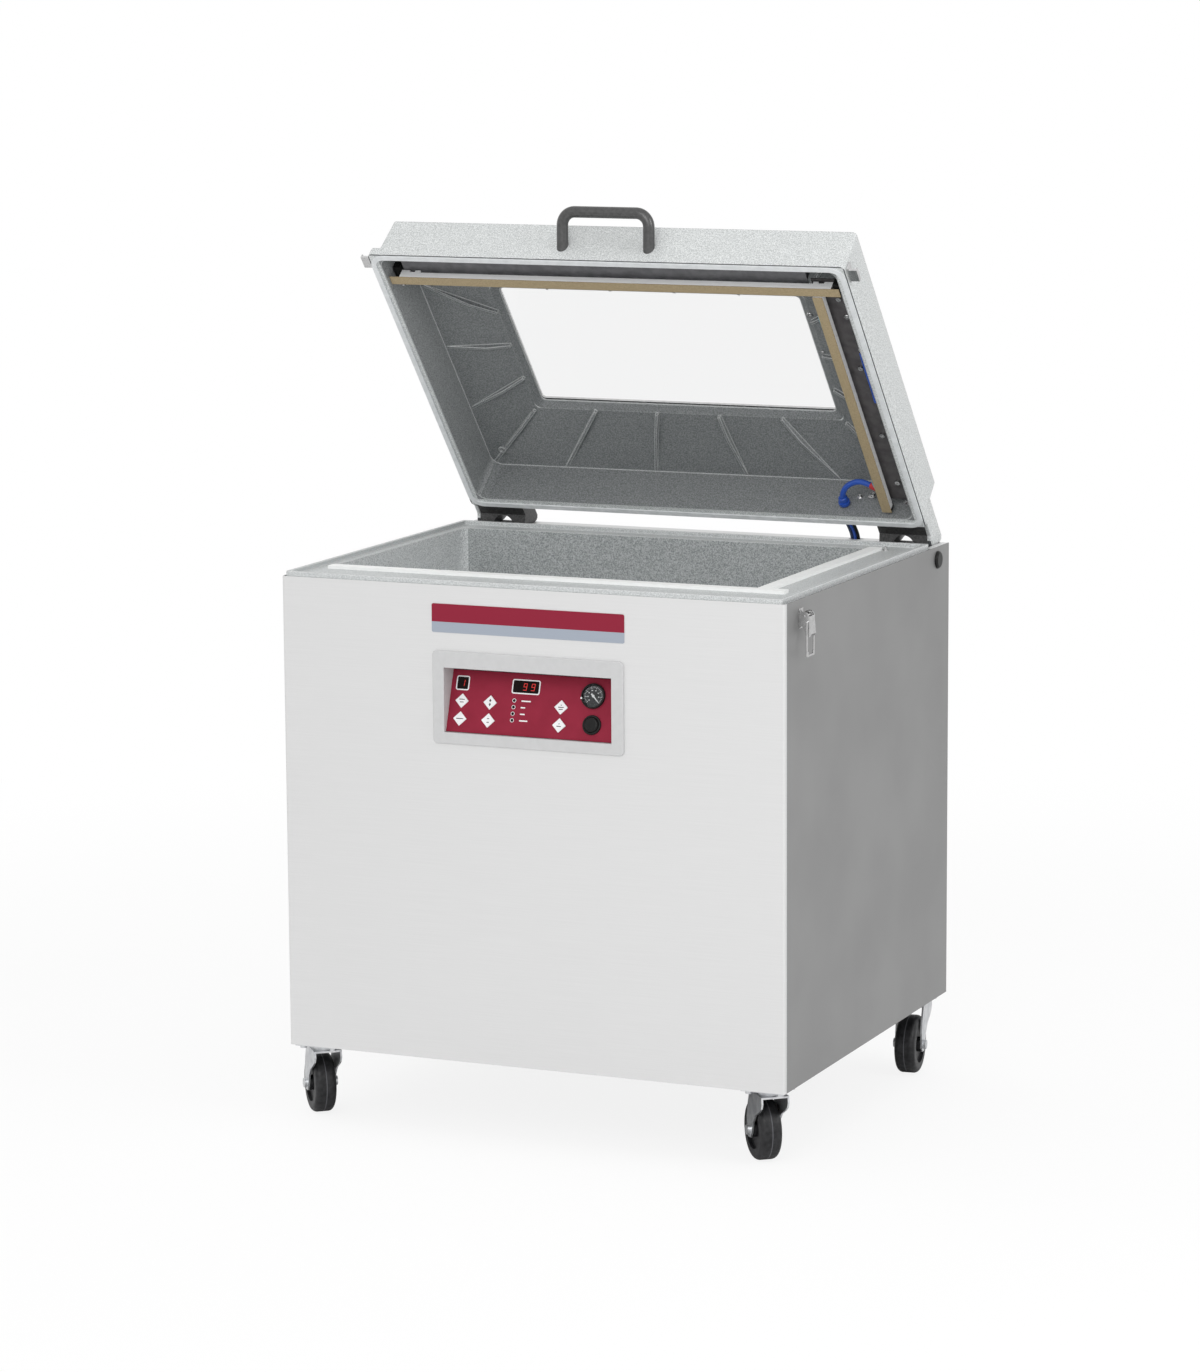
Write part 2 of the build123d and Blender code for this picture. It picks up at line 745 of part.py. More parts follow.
def rib_between(crest_point, foot_point):
    """A low web on the ceiling that is deepest at the window and runs out at the wall."""
    (x0, y0), (x1, y1) = crest_point, foot_point
    kink = 0.35
    xk, yk = x0 + kink * (x1 - x0), y0 + kink * (y1 - y0)
    ceiling_kink = crest_z - kink * (crest_z - fold_z)
    points = [(x0, y0, crest_z - rib_depth + 3), (xk, yk, ceiling_kink - rib_depth), (x1, y1, fold_z),
              (x1, y1, fold_z + 3), (x0, y0, crest_z + 4)]
    return extrude(make_face(Polyline(*points, close=True)), rib_thickness / 2, both=True)


def lid_ribs():
    wx0, wx1, wy0, wy1 = crest_outline()
    fx0, fx1, fy0, fy1 = cavity_outline(1)
    ribs = []
    for number in (-1.5, -0.5, 0.5, 1.5):
        crest_x, foot_x = number * 115, number * 170
        ribs.append(rib_between((crest_x, wy1), (foot_x, fy1)))
        ribs.append(rib_between((crest_x, wy0), (foot_x, fy0)))
    window_middle = (window_front + window_rear) / 2
    crest_mid, foot_mid = window_middle - 7.5, window_middle - 21.5
    for number in (-1, 0, 1):
        crest_y, foot_y = crest_mid + number * 80, foot_mid + number * 152
        ribs.append(rib_between((wx0, crest_y), (fx0, foot_y)))
        ribs.append(rib_between((wx1, crest_y), (fx1, foot_y)))
    start, inset = 3, 7
    for wx, fx in ((wx0 - start, fx0 + inset), (wx1 + start, fx1 - inset)):
        for wy, fy in ((wy0 - start, fy0 + inset), (wy1 + start, fy1 - inset)):
            ribs.append(rib_between((wx, wy), (fx, fy)))
    return ribs


def ear_outline():
    """Side view of the lid's rear lugs, closed; a curve leads round the back down to the hinge."""
    wall_y = lid_rear - 24
    return [(wall_y, hinge_z + 33), (hinge_y - 24, hinge_z + 32), (hinge_y - 5, hinge_z + 18),
            (hinge_y + 12, hinge_z + 20), (hinge_y + 14, hinge_z + 50), (hinge_y + 19, hinge_z + 58),
            (hinge_y + 20, hinge_z + 66), (hinge_y + 16, hinge_z + 70), (wall_y, hinge_z + 70)]


def hinge_arms():
    """Dark cast saddles bolted behind the lid; two legs each hold the hinge shaft."""
    low, high = lid_rim_z + lid_flange + 1, hinge_z + 68
    outline = [(rear_wall(low) + seam, low), (lid_rear + 0.5, low), (lid_rear + 0.5, hinge_z + 33),
               (hinge_y - 22, hinge_z + 33), (hinge_y - 6, hinge_z + 18), (hinge_y - 7, hinge_z),
               (hinge_y + 10, hinge_z), (hinge_y + 12, hinge_z + 20), (hinge_y + 14, hinge_z + 50),
               (hinge_y + 18, hinge_z + 58), (hinge_y + 18, hinge_z + 64), (hinge_y + 14, hinge_z + 68),
               (rear_wall(high) + seam, high)]
    arm = side_profile(outline, arm_inner, arm_outer)
    arm += rod_x(arm_inner, arm_outer, hinge_y, hinge_z, arm_boss)
    arm -= rod_x(arm_inner - 1, arm_outer + 1, hinge_y, hinge_z, shaft_radius + 0.02)
    arm = opened(arm)
    gap_low, gap_high = arm_inner + arm_leg, arm_outer - arm_leg
    arch_top = top_z + arm_arch_height
    crown = (gap_high - gap_low) / 2
    arch = block(gap_low, gap_high, hinge_y - 60, hinge_y + 80, hinge_z - 60, arch_top - crown)
    arch += rod_y((gap_low + gap_high) / 2, hinge_y - 60, hinge_y + 80, arch_top - crown, crown)
    arm -= arch
    return both_sides(arm)


def hinge_shaft():
    """Through shaft with a welded crank on each side for the spring."""
    shaft = rod_x(-inner_x + 0.5, inner_x - 0.5, hinge_y, hinge_z, shaft_radius)
    pin_y, pin_z = crank_pin(0)
    for side in (-1, 1):
        x = side * crank_x
        shaft += rod_x(x - 10, x + 10, hinge_y, hinge_z, 16)
        web = Box(8, crank_radius, 14)
        shaft += Pos(x, hinge_y, hinge_z) * Rot(crank_angle, 0, 0) * (Pos(0, crank_radius / 2, 0) * web)
        shaft += rod_x(x - 4, x + 4, pin_y, pin_z, 7)
        shaft += rod_x(x, x + side * 16, pin_y, pin_z, crank_pin_radius)
    return shaft


def lid_gasket():
    edge = gasket_margin
    outer = lid_outline(edge, rear_extra=edge, front_extra=edge)
    inner = lid_outline(edge + gasket_width, rear_extra=edge + gasket_width, front_extra=edge + gasket_width)
    low = lid_rim_z - gasket_height
    ring = round_block(*outer, low, lid_rim_z, gasket_corner)
    return ring - round_block(*inner, low, lid_rim_z, gasket_corner - gasket_width)


def lid_window():
    return round_block(*pane_outline(), pane_z, lid_top_z, 8)


def window_frame():
    x0, x1, y0, y1 = pane_outline(16)
    ring = round_block(x0, x1, y0, y1, lid_top_z, lid_top_z + frame_ring_height, 14)
    x0, x1, y0, y1 = pane_outline(-16)
    return ring - round_block(x0, x1, y0, y1, lid_top_z, lid_top_z + frame_ring_height, 6)


def lid_handle():
    """Bent tube bow with two legs on the lid's front wall."""
    lift = math.radians(90 - lid_open_angle)
    half = handle_spacing / 2

    def along(distance, x):
        return (x, lid_front - distance * math.cos(lift), handle_height + distance * math.sin(lift))

    rooted = -handle_diameter
    points = [along(rooted, -half), along(handle_leg, -half), along(handle_leg, half), along(rooted, half)]
    path = FilletPolyline(*points, radius=handle_bend)
    section = Plane(origin=path @ 0, z_dir=path % 0) * Circle(handle_diameter / 2)
    bow = sweep(section, path=path)
    return bow - block(-lid_x, lid_x, lid_front, lid_front + 60, lid_rim_z - 60, lid_top_z)


def seal_face_z():
    return ledge_z + counter_height + press_gap + seal_travel


def carrier_z():
    return seal_face_z() + tape_thickness + seal_body_height + carrier_gap


def post_spots():
    """Guide posts of the front bar, then those of the side bar."""
    front = [(counter_left + 81, counter_y), (counter_right - 70, counter_y)]
    side = [(counter_x, counter_y + 75), (counter_x, counter_rear - 45)]
    return front, side


def bar_carriers():
    """Steel angle plates inside the lid with the air cylinders and guide posts that push the seal bars."""
    z0 = carrier_z()
    z1 = z0 + carrier_thickness
    wall = cavity_outline(0.5)
    half = seal_width / 2 + 3
    front_shelf = block(counter_left + 27, counter_x - half - 6, wall[2] + 2, counter_y + half, z0, z1)
    front_shelf += block(counter_left + 27, counter_x - half - 6, wall[2] + 2, wall[2] + 4, z0, z1 + 26)
    side_shelf = block(counter_x - half, wall[1] - 3, counter_y - half, counter_rear - 12, z0, z1)
    side_shelf += block(wall[1] - 5, wall[1] - 3, counter_y - half, counter_rear - 12, z0, z1 + 26)
    front, side = post_spots()
    for x, y in front:
        x = min(x, counter_x - half - 22)
        front_shelf += rod_z(x, y, z1 - 1, z1 + piston_height, piston_radius)
        front_shelf += rod_z(x, y, z0 - carrier_gap - 7, z0 + 1, post_radius)
    for x, y in side:
        side_shelf += rod_z(x, y, z1 - 1, z1 + piston_height, piston_radius)
        side_shelf += rod_z(x, y, z0 - carrier_gap - 7, z0 + 1, post_radius)
    return group(front_shelf, side_shelf)


def seal_bar(x0, x1, y0, y1, spots):
    """Aluminium profile with raised notched ends, bored for its guide posts."""
    z0 = seal_face_z() + tape_thickness
    z1 = z0 + seal_body_height
    bar = block(x0, x1, y0, y1, z0, z1)
    for x, y in spots:
        bar -= rod_z(x, y, z1 - 8 - seal_travel, z1 + 1, post_radius + slide_gap)
    return bar


def front_seal_bar():
    half = seal_width / 2
    side_half = seal_width / 2 + 3
    front, _ = post_spots()
    spots = [(min(x, counter_x - side_half - 22), y) for x, y in front]
    left, right = counter_left + 25, counter_right - 14
    bar = seal_bar(left, right, counter_y - half, counter_y + half, spots)
    top = seal_face_z() + tape_thickness + seal_body_height
    for side, end in ((-1, left), (1, right)):
        x0, x1 = sorted((end, end - side * 34))
        middle = end - side * 20
        lug = block(x0, x1, counter_y - half, counter_y - half + 3, top, top + seal_end_lift)
        notch = block(middle - 5, middle + 5, counter_y - half - 1, counter_y, top + 1, top + 9)
        bar += lug - notch
    return bar


def side_seal_bar():
    half = seal_width / 2
    _, side = post_spots()
    start = counter_y + seal_width / 2 + 3
    return seal_bar(counter_x - half, counter_x + half, start, counter_rear - 6, side)


def front_seal_tape():
    half = seal_width / 2
    z0 = seal_face_z()
    return block(counter_left + 7, counter_right, counter_y - half, counter_y + half, z0, z0 + tape_thickness)


def side_seal_tape():
    half = seal_width / 2
    z0 = seal_face_z()
    start = counter_y + seal_width / 2 + 3
    return block(counter_x - half, counter_x + half, start, counter_rear + 2, z0, z0 + tape_thickness)


def lid_keepers():
    """Hook plates on the lid's sides for the latch bails."""
    x0 = lid_x
    plate = block(x0, x0 + 3, latch_y - 15, latch_y + 15, keeper_z, keeper_z + 16)
    plate += block(x0, x0 + 16, latch_y - 12, latch_y + 12, keeper_z, keeper_z + 4)
    plate += block(x0 + 16, x0 + 18, latch_y - 12, latch_y + 12, keeper_z, keeper_z + 7)
    return both_sides(plate)


def screw(x, y, z, direction):
    """A cap screw head with a hexagon socket, seated at z and facing along direction."""
    head = Pos(0, 0, 2.5) * Cylinder(4.5, 5)
    head -= extrude(Pos(0, 0, 3) * RegularPolygon(2.2, 6), 3)
    return Plane(origin=(x, y, z), z_dir=direction).location * head


def lid_screws():
    """Screws of the seal bar carriers and of the window frame."""
    down, up = (0, 0, -1), (0, 0, 1)
    z = carrier_z()
    shelf_y = cavity_outline(0.5)[2] + 16
    shelf_x = cavity_outline(0.5)[1] - 16
    screws = [screw(x, shelf_y, z, down) for x in (counter_left + 51, -120, 120, counter_right - 80)]
    screws += [screw(shelf_x, y, z, down) for y in (counter_y + 30, counter_y + 190, counter_y + 350, counter_rear - 56)]
    x0, x1, y0, y1 = pane_outline(9)
    top = lid_top_z + frame_ring_height
    for number in range(6):
        x = x0 + 20 + number * (x1 - x0 - 40) / 5
        screws += [screw(x, y0, top, up), screw(x, y1, top, up)]
    for number in range(1, 3):
        y = y0 + number * (y1 - y0) / 3
        screws += [screw(x0, y, top, up), screw(x1, y, top, up)]
    return group(*screws)


def cable(points, diameter):
    """A tube along straight runs joined by the largest tangent arcs that fit."""
    radii = []
    for before, here, after in zip(points, points[1:], points[2:]):
        arrive, leave = Vector(*here) - Vector(*before), Vector(*after) - Vector(*here)
        turn = math.radians(arrive.get_angle(leave))
        radii.append(0.45 * min(arrive.length, leave.length) / math.tan(turn / 2))
    path = FilletPolyline(*points, radius=radii)
    tube_solid = sweep(Plane(origin=path @ 0, z_dir=path % 0) * Circle(diameter / 2), path=path)
    run = math.pi * diameter ** 2 / 4 * path.length
    print(f"cable d{diameter}: radii {[round(r, 1) for r in radii]} volume ratio {tube_solid.volume / run:.4f}")
    return tube_solid


def lid_cables():
    """Blue heating lead of the side bar with its wall gland, and the lead along the side carrier."""
    wall = cavity_outline(0.3)[3]
    gland_x, gland_z = cable_slot_centre()[0], lid_rim_z + 24
    shelf_edge = counter_x - seal_width / 2 - 3
    lead = [(gland_x, wall - 18, gland_z), (gland_x + 2, wall - 30, gland_z + 3),
            (gland_x + 14, wall - 42, gland_z + 9), (gland_x + 34, wall - 48, gland_z + 12),
            (gland_x + 52, wall - 48, gland_z + 6), (shelf_edge - 0.5, wall - 47, gland_z - 2)]
    gland = rod_y(gland_x, wall - 18, cavity_outline(0.46)[3], gland_z, 8)
    shelf_z = carrier_z()
    run_x = cavity_outline(0.5)[1] - 7
    run = [(run_x, counter_y + 155, shelf_z - 3.3), (run_x - 0.5, counter_y + 192, shelf_z - 4.3),
           (run_x, counter_y + 230, shelf_z - 3.3), (run_x - 0.5, counter_y + 268, shelf_z - 4.3)]
    return group(cable(lead, 10), gland, cable(run, 6), lead_gland())


def lead_gland():
    """Flat gland behind the lid's rear wall that takes the three leads, lid closed."""
    z = lid_rim_z + 42
    y = rear_wall(z - 7)
    x = cable_slot_centre()[0] - 26
    return block(x - 12, x + 12, y + 0.1, y + 10, z - 7, z + 7)


def lead_gland_end():
    """Middle of the gland's outer face, lid open."""
    z = lid_rim_z + 42 - hinge_z
    y = rear_wall(lid_rim_z + 35) + 10 + lead_end_gap - hinge_y
    turn = math.radians(lid_open_angle)
    return (hinge_y + y * math.cos(turn) + z * math.sin(turn),
            hinge_z - y * math.sin(turn) + z * math.cos(turn))


def hinge_cable():
    """Three leads from the deck's slot up to the gland behind the lid, lid open."""
    deck_x, deck_y = cable_slot_centre()
    target_y, target_z = lead_gland_end()
    leads = []
    for number in (-1, 0, 1):
        x = deck_x + number * (lead_diameter + 0.25)
        leads.append(cable([(x, deck_y, top_z - 26), (x, deck_y + 0.5, top_z), (x - 8, deck_y - 3, top_z + 24),
                            (x - 18, deck_y - 15, top_z + 46), (x - 26, target_y, target_z)], lead_diameter))
    return group(*leads)


# ================================================================ latch
def to_side(points):
    return [(side_x + x, z) for x, z in points]


def latch_prism(points, y0, y1):
    """A prism along Y from an outline in X and Z."""
    outline = make_face(Polyline(*[(x, y0, z) for x, z in points], close=True))
    return extrude(outline, y1 - y0, dir=(0, 1, 0))


def latch_base():
    """Wall plate with two triangular cheeks and the lever's pivot pin."""
    x, z = side_x + lever_pivot[0], lever_pivot[1]
    low, high = z - 20, z + 12
    base = block(side_x, side_x + latch_sheet, latch_y - 9.5, latch_y + 9.5, low, high)
    reach = 6.5
    cheek = to_side([(0, z + 2), (4, z + 2), (lever_pivot[0] - 0.62 * reach, z + 0.78 * reach),
                     (lever_pivot[0], z + reach), (lever_pivot[0] + 0.7 * reach, z + 0.7 * reach),
                     (lever_pivot[0] + reach, z), (lever_pivot[0] + 5, z - 4), (2, low)])
    for y in (latch_y - 9.5, latch_y + 8):
        base += latch_prism(cheek, y, y + latch_sheet)
    base += rod_y(x, latch_y - latch_width / 2, latch_y + latch_width / 2, z, pivot_radius)
    return base


def hull_outline(circles):
    """Outline round two circles, given as x, z, radius, the first above the second."""
    (xa, za, ra), (xb, zb, rb) = circles
    heading = math.atan2(zb - za, xb - xa)
    tilt = math.acos((ra - rb) / math.hypot(xb - xa, zb - za))
    points = []
    steps = 8
    for centre, radius, start, end in ((0, ra, heading + tilt, heading + 2 * math.pi - tilt),
                                       (1, rb, heading - tilt, heading + tilt)):
        x, z, _ = circles[centre]
        for step in range(steps + 1):
            angle = start + (end - start) * step / steps
            points.append((x + radius * math.cos(angle), z + radius * math.sin(angle)))
    return points


def latch_lever():
    """Pressed lever: two cheeks beside the base, joined by a web along their outer edge."""
    x, z = side_x + lever_pivot[0], lever_pivot[1]
    bail_x, bail_z = side_x + bail_pivot[0], bail_pivot[1]
    end_x, end_z = side_x + lever_pivot[0] + 7, z - 28
    outline = hull_outline([(x, z, 8.5), (end_x, end_z, 4)])
    outer, inner = latch_width / 2 - 1, latch_width / 2 - 2.5
    lever = latch_prism(outline, latch_y - outer, latch_y - inner)
    lever += latch_prism(outline, latch_y + inner, latch_y + outer)
    heading = math.atan2(end_z - z, end_x - x)
    tilt = math.acos((8.5 - 4) / math.hypot(end_x - x, end_z - z))
    side = heading + tilt
    near = (x + 8.5 * math.cos(side), z + 8.5 * math.sin(side))
    far = (end_x + 4 * math.cos(side), end_z + 4 * math.sin(side))
    thick = (-latch_sheet * math.cos(side), -latch_sheet * math.sin(side))
    web = [near, far, (far[0] + thick[0], far[1] + thick[1]), (near[0] + thick[0], near[1] + thick[1])]
    lever += latch_prism(web, latch_y - inner, latch_y + inner)
    lever -= rod_y(x, latch_y - latch_width, latch_y + latch_width, z, pivot_radius + running_gap)
    lever -= rod_y(bail_x, latch_y - latch_width, latch_y + latch_width, bail_z, bail_wire + running_gap)
    return lever


def latch_bail():
    """Wire loop that hangs from the lever, with a flat hook at its end."""
    x, z = side_x + bail_pivot[0], bail_pivot[1]
    leg = latch_width / 2 + 2
    low = z - bail_length
    bail = block(x - 1.2, x + 1.2, latch_y - leg, latch_y + leg, low - 1, low + 7)
    for side in (-1, 1):
        y = latch_y + side * leg
        bail += rod_z(x, y, low, z, bail_wire)
        bail += Pos(x, y, z) * Sphere(bail_wire)
        y0, y1 = sorted((y, latch_y + side * (latch_width / 2 - 2.6)))
        bail += rod_y(x, y0, y1, z, bail_wire)
    bail -= block(x - 3, x + 3, latch_y - leg + 5, latch_y + leg - 5, low + 2, low + 8)
    return bail


# ================================================================ casters
def caster_spot(name):
    x = -caster_x if name.endswith("left") else caster_x
    y = -caster_y if name.startswith("front") else caster_y
    return x, y


def placed(name, shape):
    x, y = caster_spot(name)
    return Pos(x, y, 0) * Rot(0, 0, swivel_angles[name]) * shape


def caster_plates():
    """Mounting plates with bolts under the frame's corners."""
    plates = []
    for name in swivel_angles:
        x, y = caster_spot(name)
        y_plate = y - 4 if y > 0 else y + 4
        plate = block(x - plate_width / 2, x + plate_width / 2 - 2, y_plate - plate_length / 2 + 12,
                      y_plate + plate_length / 2 - 12, bottom_z - mount_plate, bottom_z)
        plate -= rod_z(x, y, bottom_z - 2 * mount_plate, bottom_z + mount_plate, kingpin_radius + running_gap)
        for dx in (-28, 26):
            for dy in (-25, 25):
                plate += rod_z(x + dx, y_plate + dy, bottom_z - mount_plate - 5, bottom_z - mount_plate, 5.5)
        plates.append(plate)
    return group(*plates)


def caster_fork():
    """Pressed fork, wheel behind the kingpin along +Y before it is turned."""
    crown_high = bottom_z - mount_plate - 0.5
    crown_low = crown_high - swivel_height
    reach = wheel_width / 2 + fork_gap
    fork = rod_z(0, 0, crown_low, crown_high, 20)
    fork += rod_z(0, 0, crown_high - 1, bottom_z + 6, kingpin_radius)
    fork += block(-reach - fork_sheet, reach + fork_sheet, -26, 34, crown_low - fork_sheet, crown_low)
    leg = [(-26, crown_low), (34, crown_low), (caster_trail + 8, wheel_radius + 44),
           (caster_trail + 13, wheel_radius + 20), (caster_trail + 12, wheel_radius - 5),
           (caster_trail + 6, wheel_radius - 12), (caster_trail - 6, wheel_radius - 12),
           (caster_trail - 12, wheel_radius - 4), (caster_trail - 17, wheel_radius + 14), (5, wheel_radius + 30),
           (-14, wheel_radius + 40), (-24, wheel_radius + 47), (-28, wheel_radius + 56)]
    for side in (-1, 1):
        x0, x1 = sorted((side * reach, side * (reach + fork_sheet)))
        fork += side_profile(leg, x0, x1)
        nut_x0, nut_x1 = sorted((side * (reach + fork_sheet), side * (reach + fork_sheet + 5)))
        fork += rod_x(nut_x0, nut_x1, caster_trail, wheel_radius, 8)
    fork += rod_x(-reach, reach, caster_trail, wheel_radius, axle_radius)
    return fork


def caster_wheel():
    """Rubber tyre on a hub that is narrower than the fork."""
    wheel = rod_x(-wheel_width / 2, wheel_width / 2, 0, 0, wheel_radius)
    wheel = fillet(wheel.edges(), 9)
    wheel += rod_x(-wheel_width / 2 - 2, wheel_width / 2 + 2, 0, 0, 13)
    for side in (-1, 1):
        x0, x1 = sorted((side * (wheel_width / 2 - 5), side * wheel_width / 2))
        wheel -= rod_x(x0, x1, 0, 0, 32) - rod_x(x0, x1, 0, 0, 13)
    wheel -= rod_x(-wheel_width, wheel_width, 0, 0, axle_radius + running_gap)
    return Pos(0, caster_trail, wheel_radius) * wheel


# ================================================================ all pieces
def build():
    os.makedirs("parts", exist_ok=True)
    save("base_frame", base_frame())
    save("front_panel", front_panel())
    save("right_panel", side_panel())
    save("left_panel", mirrored(side_panel()))
    save("rear_cover", rear_cover())
    save("chamber", chamber())
    save("counter_bars", counter_bars())
    save("hinge_bearings", hinge_bearings())
    save("side_plugs", side_plugs())
    save("lid_springs", lid_springs())
    save("label_strip", label_strip())
    save("control_bezel", control_bezel())
    save("keypad_panel", keypad_panel())
    save("indicator_windows", indicator_windows())
    save("gauge_body", gauge_body())
    save("gauge_glass", gauge_glass())
    save("gauge_needle", gauge_needle())
    save("button_collar", button_collar())
    save("power_button", power_button())
    save("control_box", control_box())
    save("vacuum_pump", vacuum_pump())
    save("pump_motor", pump_motor())
    save("pump_feet", pump_feet())
    save("vacuum_hose", vacuum_hose())
    save("caster_plates", caster_plates())
    save("hinge_cable", hinge_cable())
    for number, (x, row) in enumerate(key_spots(), 1):
        save(f"key_{number}", key(x, row))

    save("lid_casting", opened(lid_casting()))
    save("lid_window", opened(lid_window()))
    save("window_frame", opened(window_frame()))
    save("lid_gasket", opened(lid_gasket()))
    save("lid_handle", opened(lid_handle()))
    save("hinge_arms", hinge_arms())
    save("hinge_shaft", opened(hinge_shaft()))
    save("bar_carriers", opened(bar_carriers()))
    save("front_seal_bar", opened(front_seal_bar()))
    save("side_seal_bar", opened(side_seal_bar()))
    save("front_seal_tape", opened(front_seal_tape()))
    save("side_seal_tape", opened(side_seal_tape()))
    save("lid_keepers", opened(lid_keepers()))
    save("lid_screws", opened(lid_screws()))
    save("lid_cables", opened(lid_cables()))

    save("latch_bases", both_sides(latch_base()))
    save("latch_lever_right", latch_lever())
    save("latch_lever_left", mirrored(latch_lever()))
    save("latch_bail_right", latch_bail())
    save("latch_bail_left", mirrored(latch_bail()))
    for name in swivel_angles:
        save(f"caster_fork_{name}", placed(name, caster_fork()))
        save(f"caster_wheel_{name}", placed(name, caster_wheel()))


build()
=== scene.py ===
import math

import bmesh
import bpy
from mathutils import Matrix, Vector


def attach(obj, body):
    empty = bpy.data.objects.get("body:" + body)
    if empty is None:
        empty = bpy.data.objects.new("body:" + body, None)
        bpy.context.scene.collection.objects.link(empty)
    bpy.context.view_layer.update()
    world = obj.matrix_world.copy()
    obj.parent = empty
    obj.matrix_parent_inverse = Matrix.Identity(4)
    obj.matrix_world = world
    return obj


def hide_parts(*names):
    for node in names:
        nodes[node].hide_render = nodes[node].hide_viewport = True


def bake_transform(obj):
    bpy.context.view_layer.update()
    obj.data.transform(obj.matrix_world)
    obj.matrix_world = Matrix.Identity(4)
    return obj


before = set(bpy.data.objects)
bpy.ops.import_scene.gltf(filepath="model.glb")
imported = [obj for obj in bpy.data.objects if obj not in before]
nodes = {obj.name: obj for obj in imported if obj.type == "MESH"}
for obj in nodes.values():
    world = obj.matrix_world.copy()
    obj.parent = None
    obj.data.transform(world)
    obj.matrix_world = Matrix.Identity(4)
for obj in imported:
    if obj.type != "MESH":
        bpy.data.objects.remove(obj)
collection = bpy.context.scene.collection
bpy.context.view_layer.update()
print("frame loaded")

# shared places: the lid's hinge line, how far the lid stands open, and the leaning keypad plate
hinge = Vector((0, 0.325, 0.890))
openAngle = math.radians(49.6)
openTurn = Matrix.Translation(hinge) @ Matrix.Rotation(-openAngle, 4, "X") @ Matrix.Translation(-hinge)
lean = math.radians(18)
plateOrigin = Vector((0, -0.380, 0.673))
plateFrame = Matrix.Translation(plateOrigin) @ Matrix(((1, 0, 0, 0),
                                                       (0, math.sin(lean), -math.cos(lean), 0),
                                                       (0, math.cos(lean), math.sin(lean), 0),
                                                       (0, 0, 0, 1)))


# materials
def newMaterial(name, color, roughness=0.5, metallic=0.0, **extra):
    material = bpy.data.materials.new(name)
    material.use_nodes = True
    shader = material.node_tree.nodes["Principled BSDF"]
    shader.inputs["Base Color"].default_value = (*color, 1)
    shader.inputs["Roughness"].default_value = roughness
    shader.inputs["Metallic"].default_value = metallic
    for socket, value in extra.items():
        shader.inputs[socket.replace("_", " ")].default_value = value
    return material


def addNode(material, kind, **settings):
    node = material.node_tree.nodes.new(kind)
    for key, value in settings.items():
        setattr(node, key, value)
    return node


def link(material, output, target):
    material.node_tree.links.new(output, target)


def shaderOf(material):
    return material.node_tree.nodes["Principled BSDF"]


def splitAxes(material, source):
    split = addNode(material, "ShaderNodeSeparateXYZ")
    link(material, source, split.inputs["Vector"])
    return split.outputs["X"], split.outputs["Y"], split.outputs["Z"]


def objectPlace(material):
    return addNode(material, "ShaderNodeTexCoord").outputs["Object"]


def setColor(material, color):
    link(material, color, shaderOf(material).inputs["Base Color"])


def noiseOf(material, scale, detail=2.0, stretch=None):
    # a noise texture in the object's own coordinates
    place = objectPlace(material)
    noise = addNode(material, "ShaderNodeTexNoise")
    noise.inputs["Scale"].default_value = scale
    noise.inputs["Detail"].default_value = detail
    if stretch:
        mapping = addNode(material, "ShaderNodeMapping")
        mapping.inputs["Scale"].default_value = stretch
        link(material, place, mapping.inputs["Vector"])
        link(material, mapping.outputs["Vector"], noise.inputs["Vector"])
    else:
        link(material, place, noise.inputs["Vector"])
    return noise.outputs["Fac"]


def rampBetween(material, source, dark, light, low, high):
    ramp = addNode(material, "ShaderNodeValToRGB")
    ramp.color_ramp.elements[0].position = low
    ramp.color_ramp.elements[0].color = (*dark, 1)
    ramp.color_ramp.elements[1].position = high
    ramp.color_ramp.elements[1].color = (*light, 1)
    link(material, source, ramp.inputs["Fac"])
    return ramp.outputs["Color"]


def speckle(material, dark, light, scale, stretch=None):
    # base color that wanders between two colors
    noise = noiseOf(material, scale, 2.0, stretch)
    setColor(material, rampBetween(material, noise, dark, light, 0.35, 0.65))


def grain(material, dark, light, scale):
    # finer and crisper than speckle, for mixing by a mask
    return rampBetween(material, noiseOf(material, scale, 3.0), dark, light, 0.36, 0.64)


def roughen(material, scale, strength, stretch=None, normal=None):
    # fine bumps, on top of another normal where one is given
    bump = addNode(material, "ShaderNodeBump")
    bump.inputs["Strength"].default_value = strength
    bump.inputs["Distance"].default_value = 0.0005
    link(material, noiseOf(material, scale, 3.0, stretch), bump.inputs["Height"])
    if normal:
        link(material, normal, bump.inputs["Normal"])
    link(material, bump.outputs["Normal"], shaderOf(material).inputs["Normal"])


def mapRange(material, source, fromMin, fromMax, toMin, toMax, **settings):
    node = addNode(material, "ShaderNodeMapRange", **settings)
    for socket, value in (("From Min", fromMin), ("From Max", fromMax), ("To Min", toMin), ("To Max", toMax)):
        node.inputs[socket].default_value = value
    link(material, source, node.inputs["Value"])
    return node.outputs["Result"]


def mathNode(material, operation, *values):
    # a math node fed by numbers or by other nodes' outputs
    node = addNode(material, "ShaderNodeMath", operation=operation)
    for number, value in enumerate(values):
        if isinstance(value, (int, float)):
            node.inputs[number].default_value = value
        else:
            link(material, value, node.inputs[number])
    return node.outputs[0]


def mixColor(material, factor, one, two):
    node = addNode(material, "ShaderNodeMix", data_type="RGBA")
    link(material, factor, node.inputs["Factor"])
    for socket, value in ((node.inputs[6], one), (node.inputs[7], two)):
        if isinstance(value, tuple):
            socket.default_value = (*value, 1)
        else:
            link(material, value, socket)
    return node.outputs[2]


def grey(value):
    return (value, value, value)


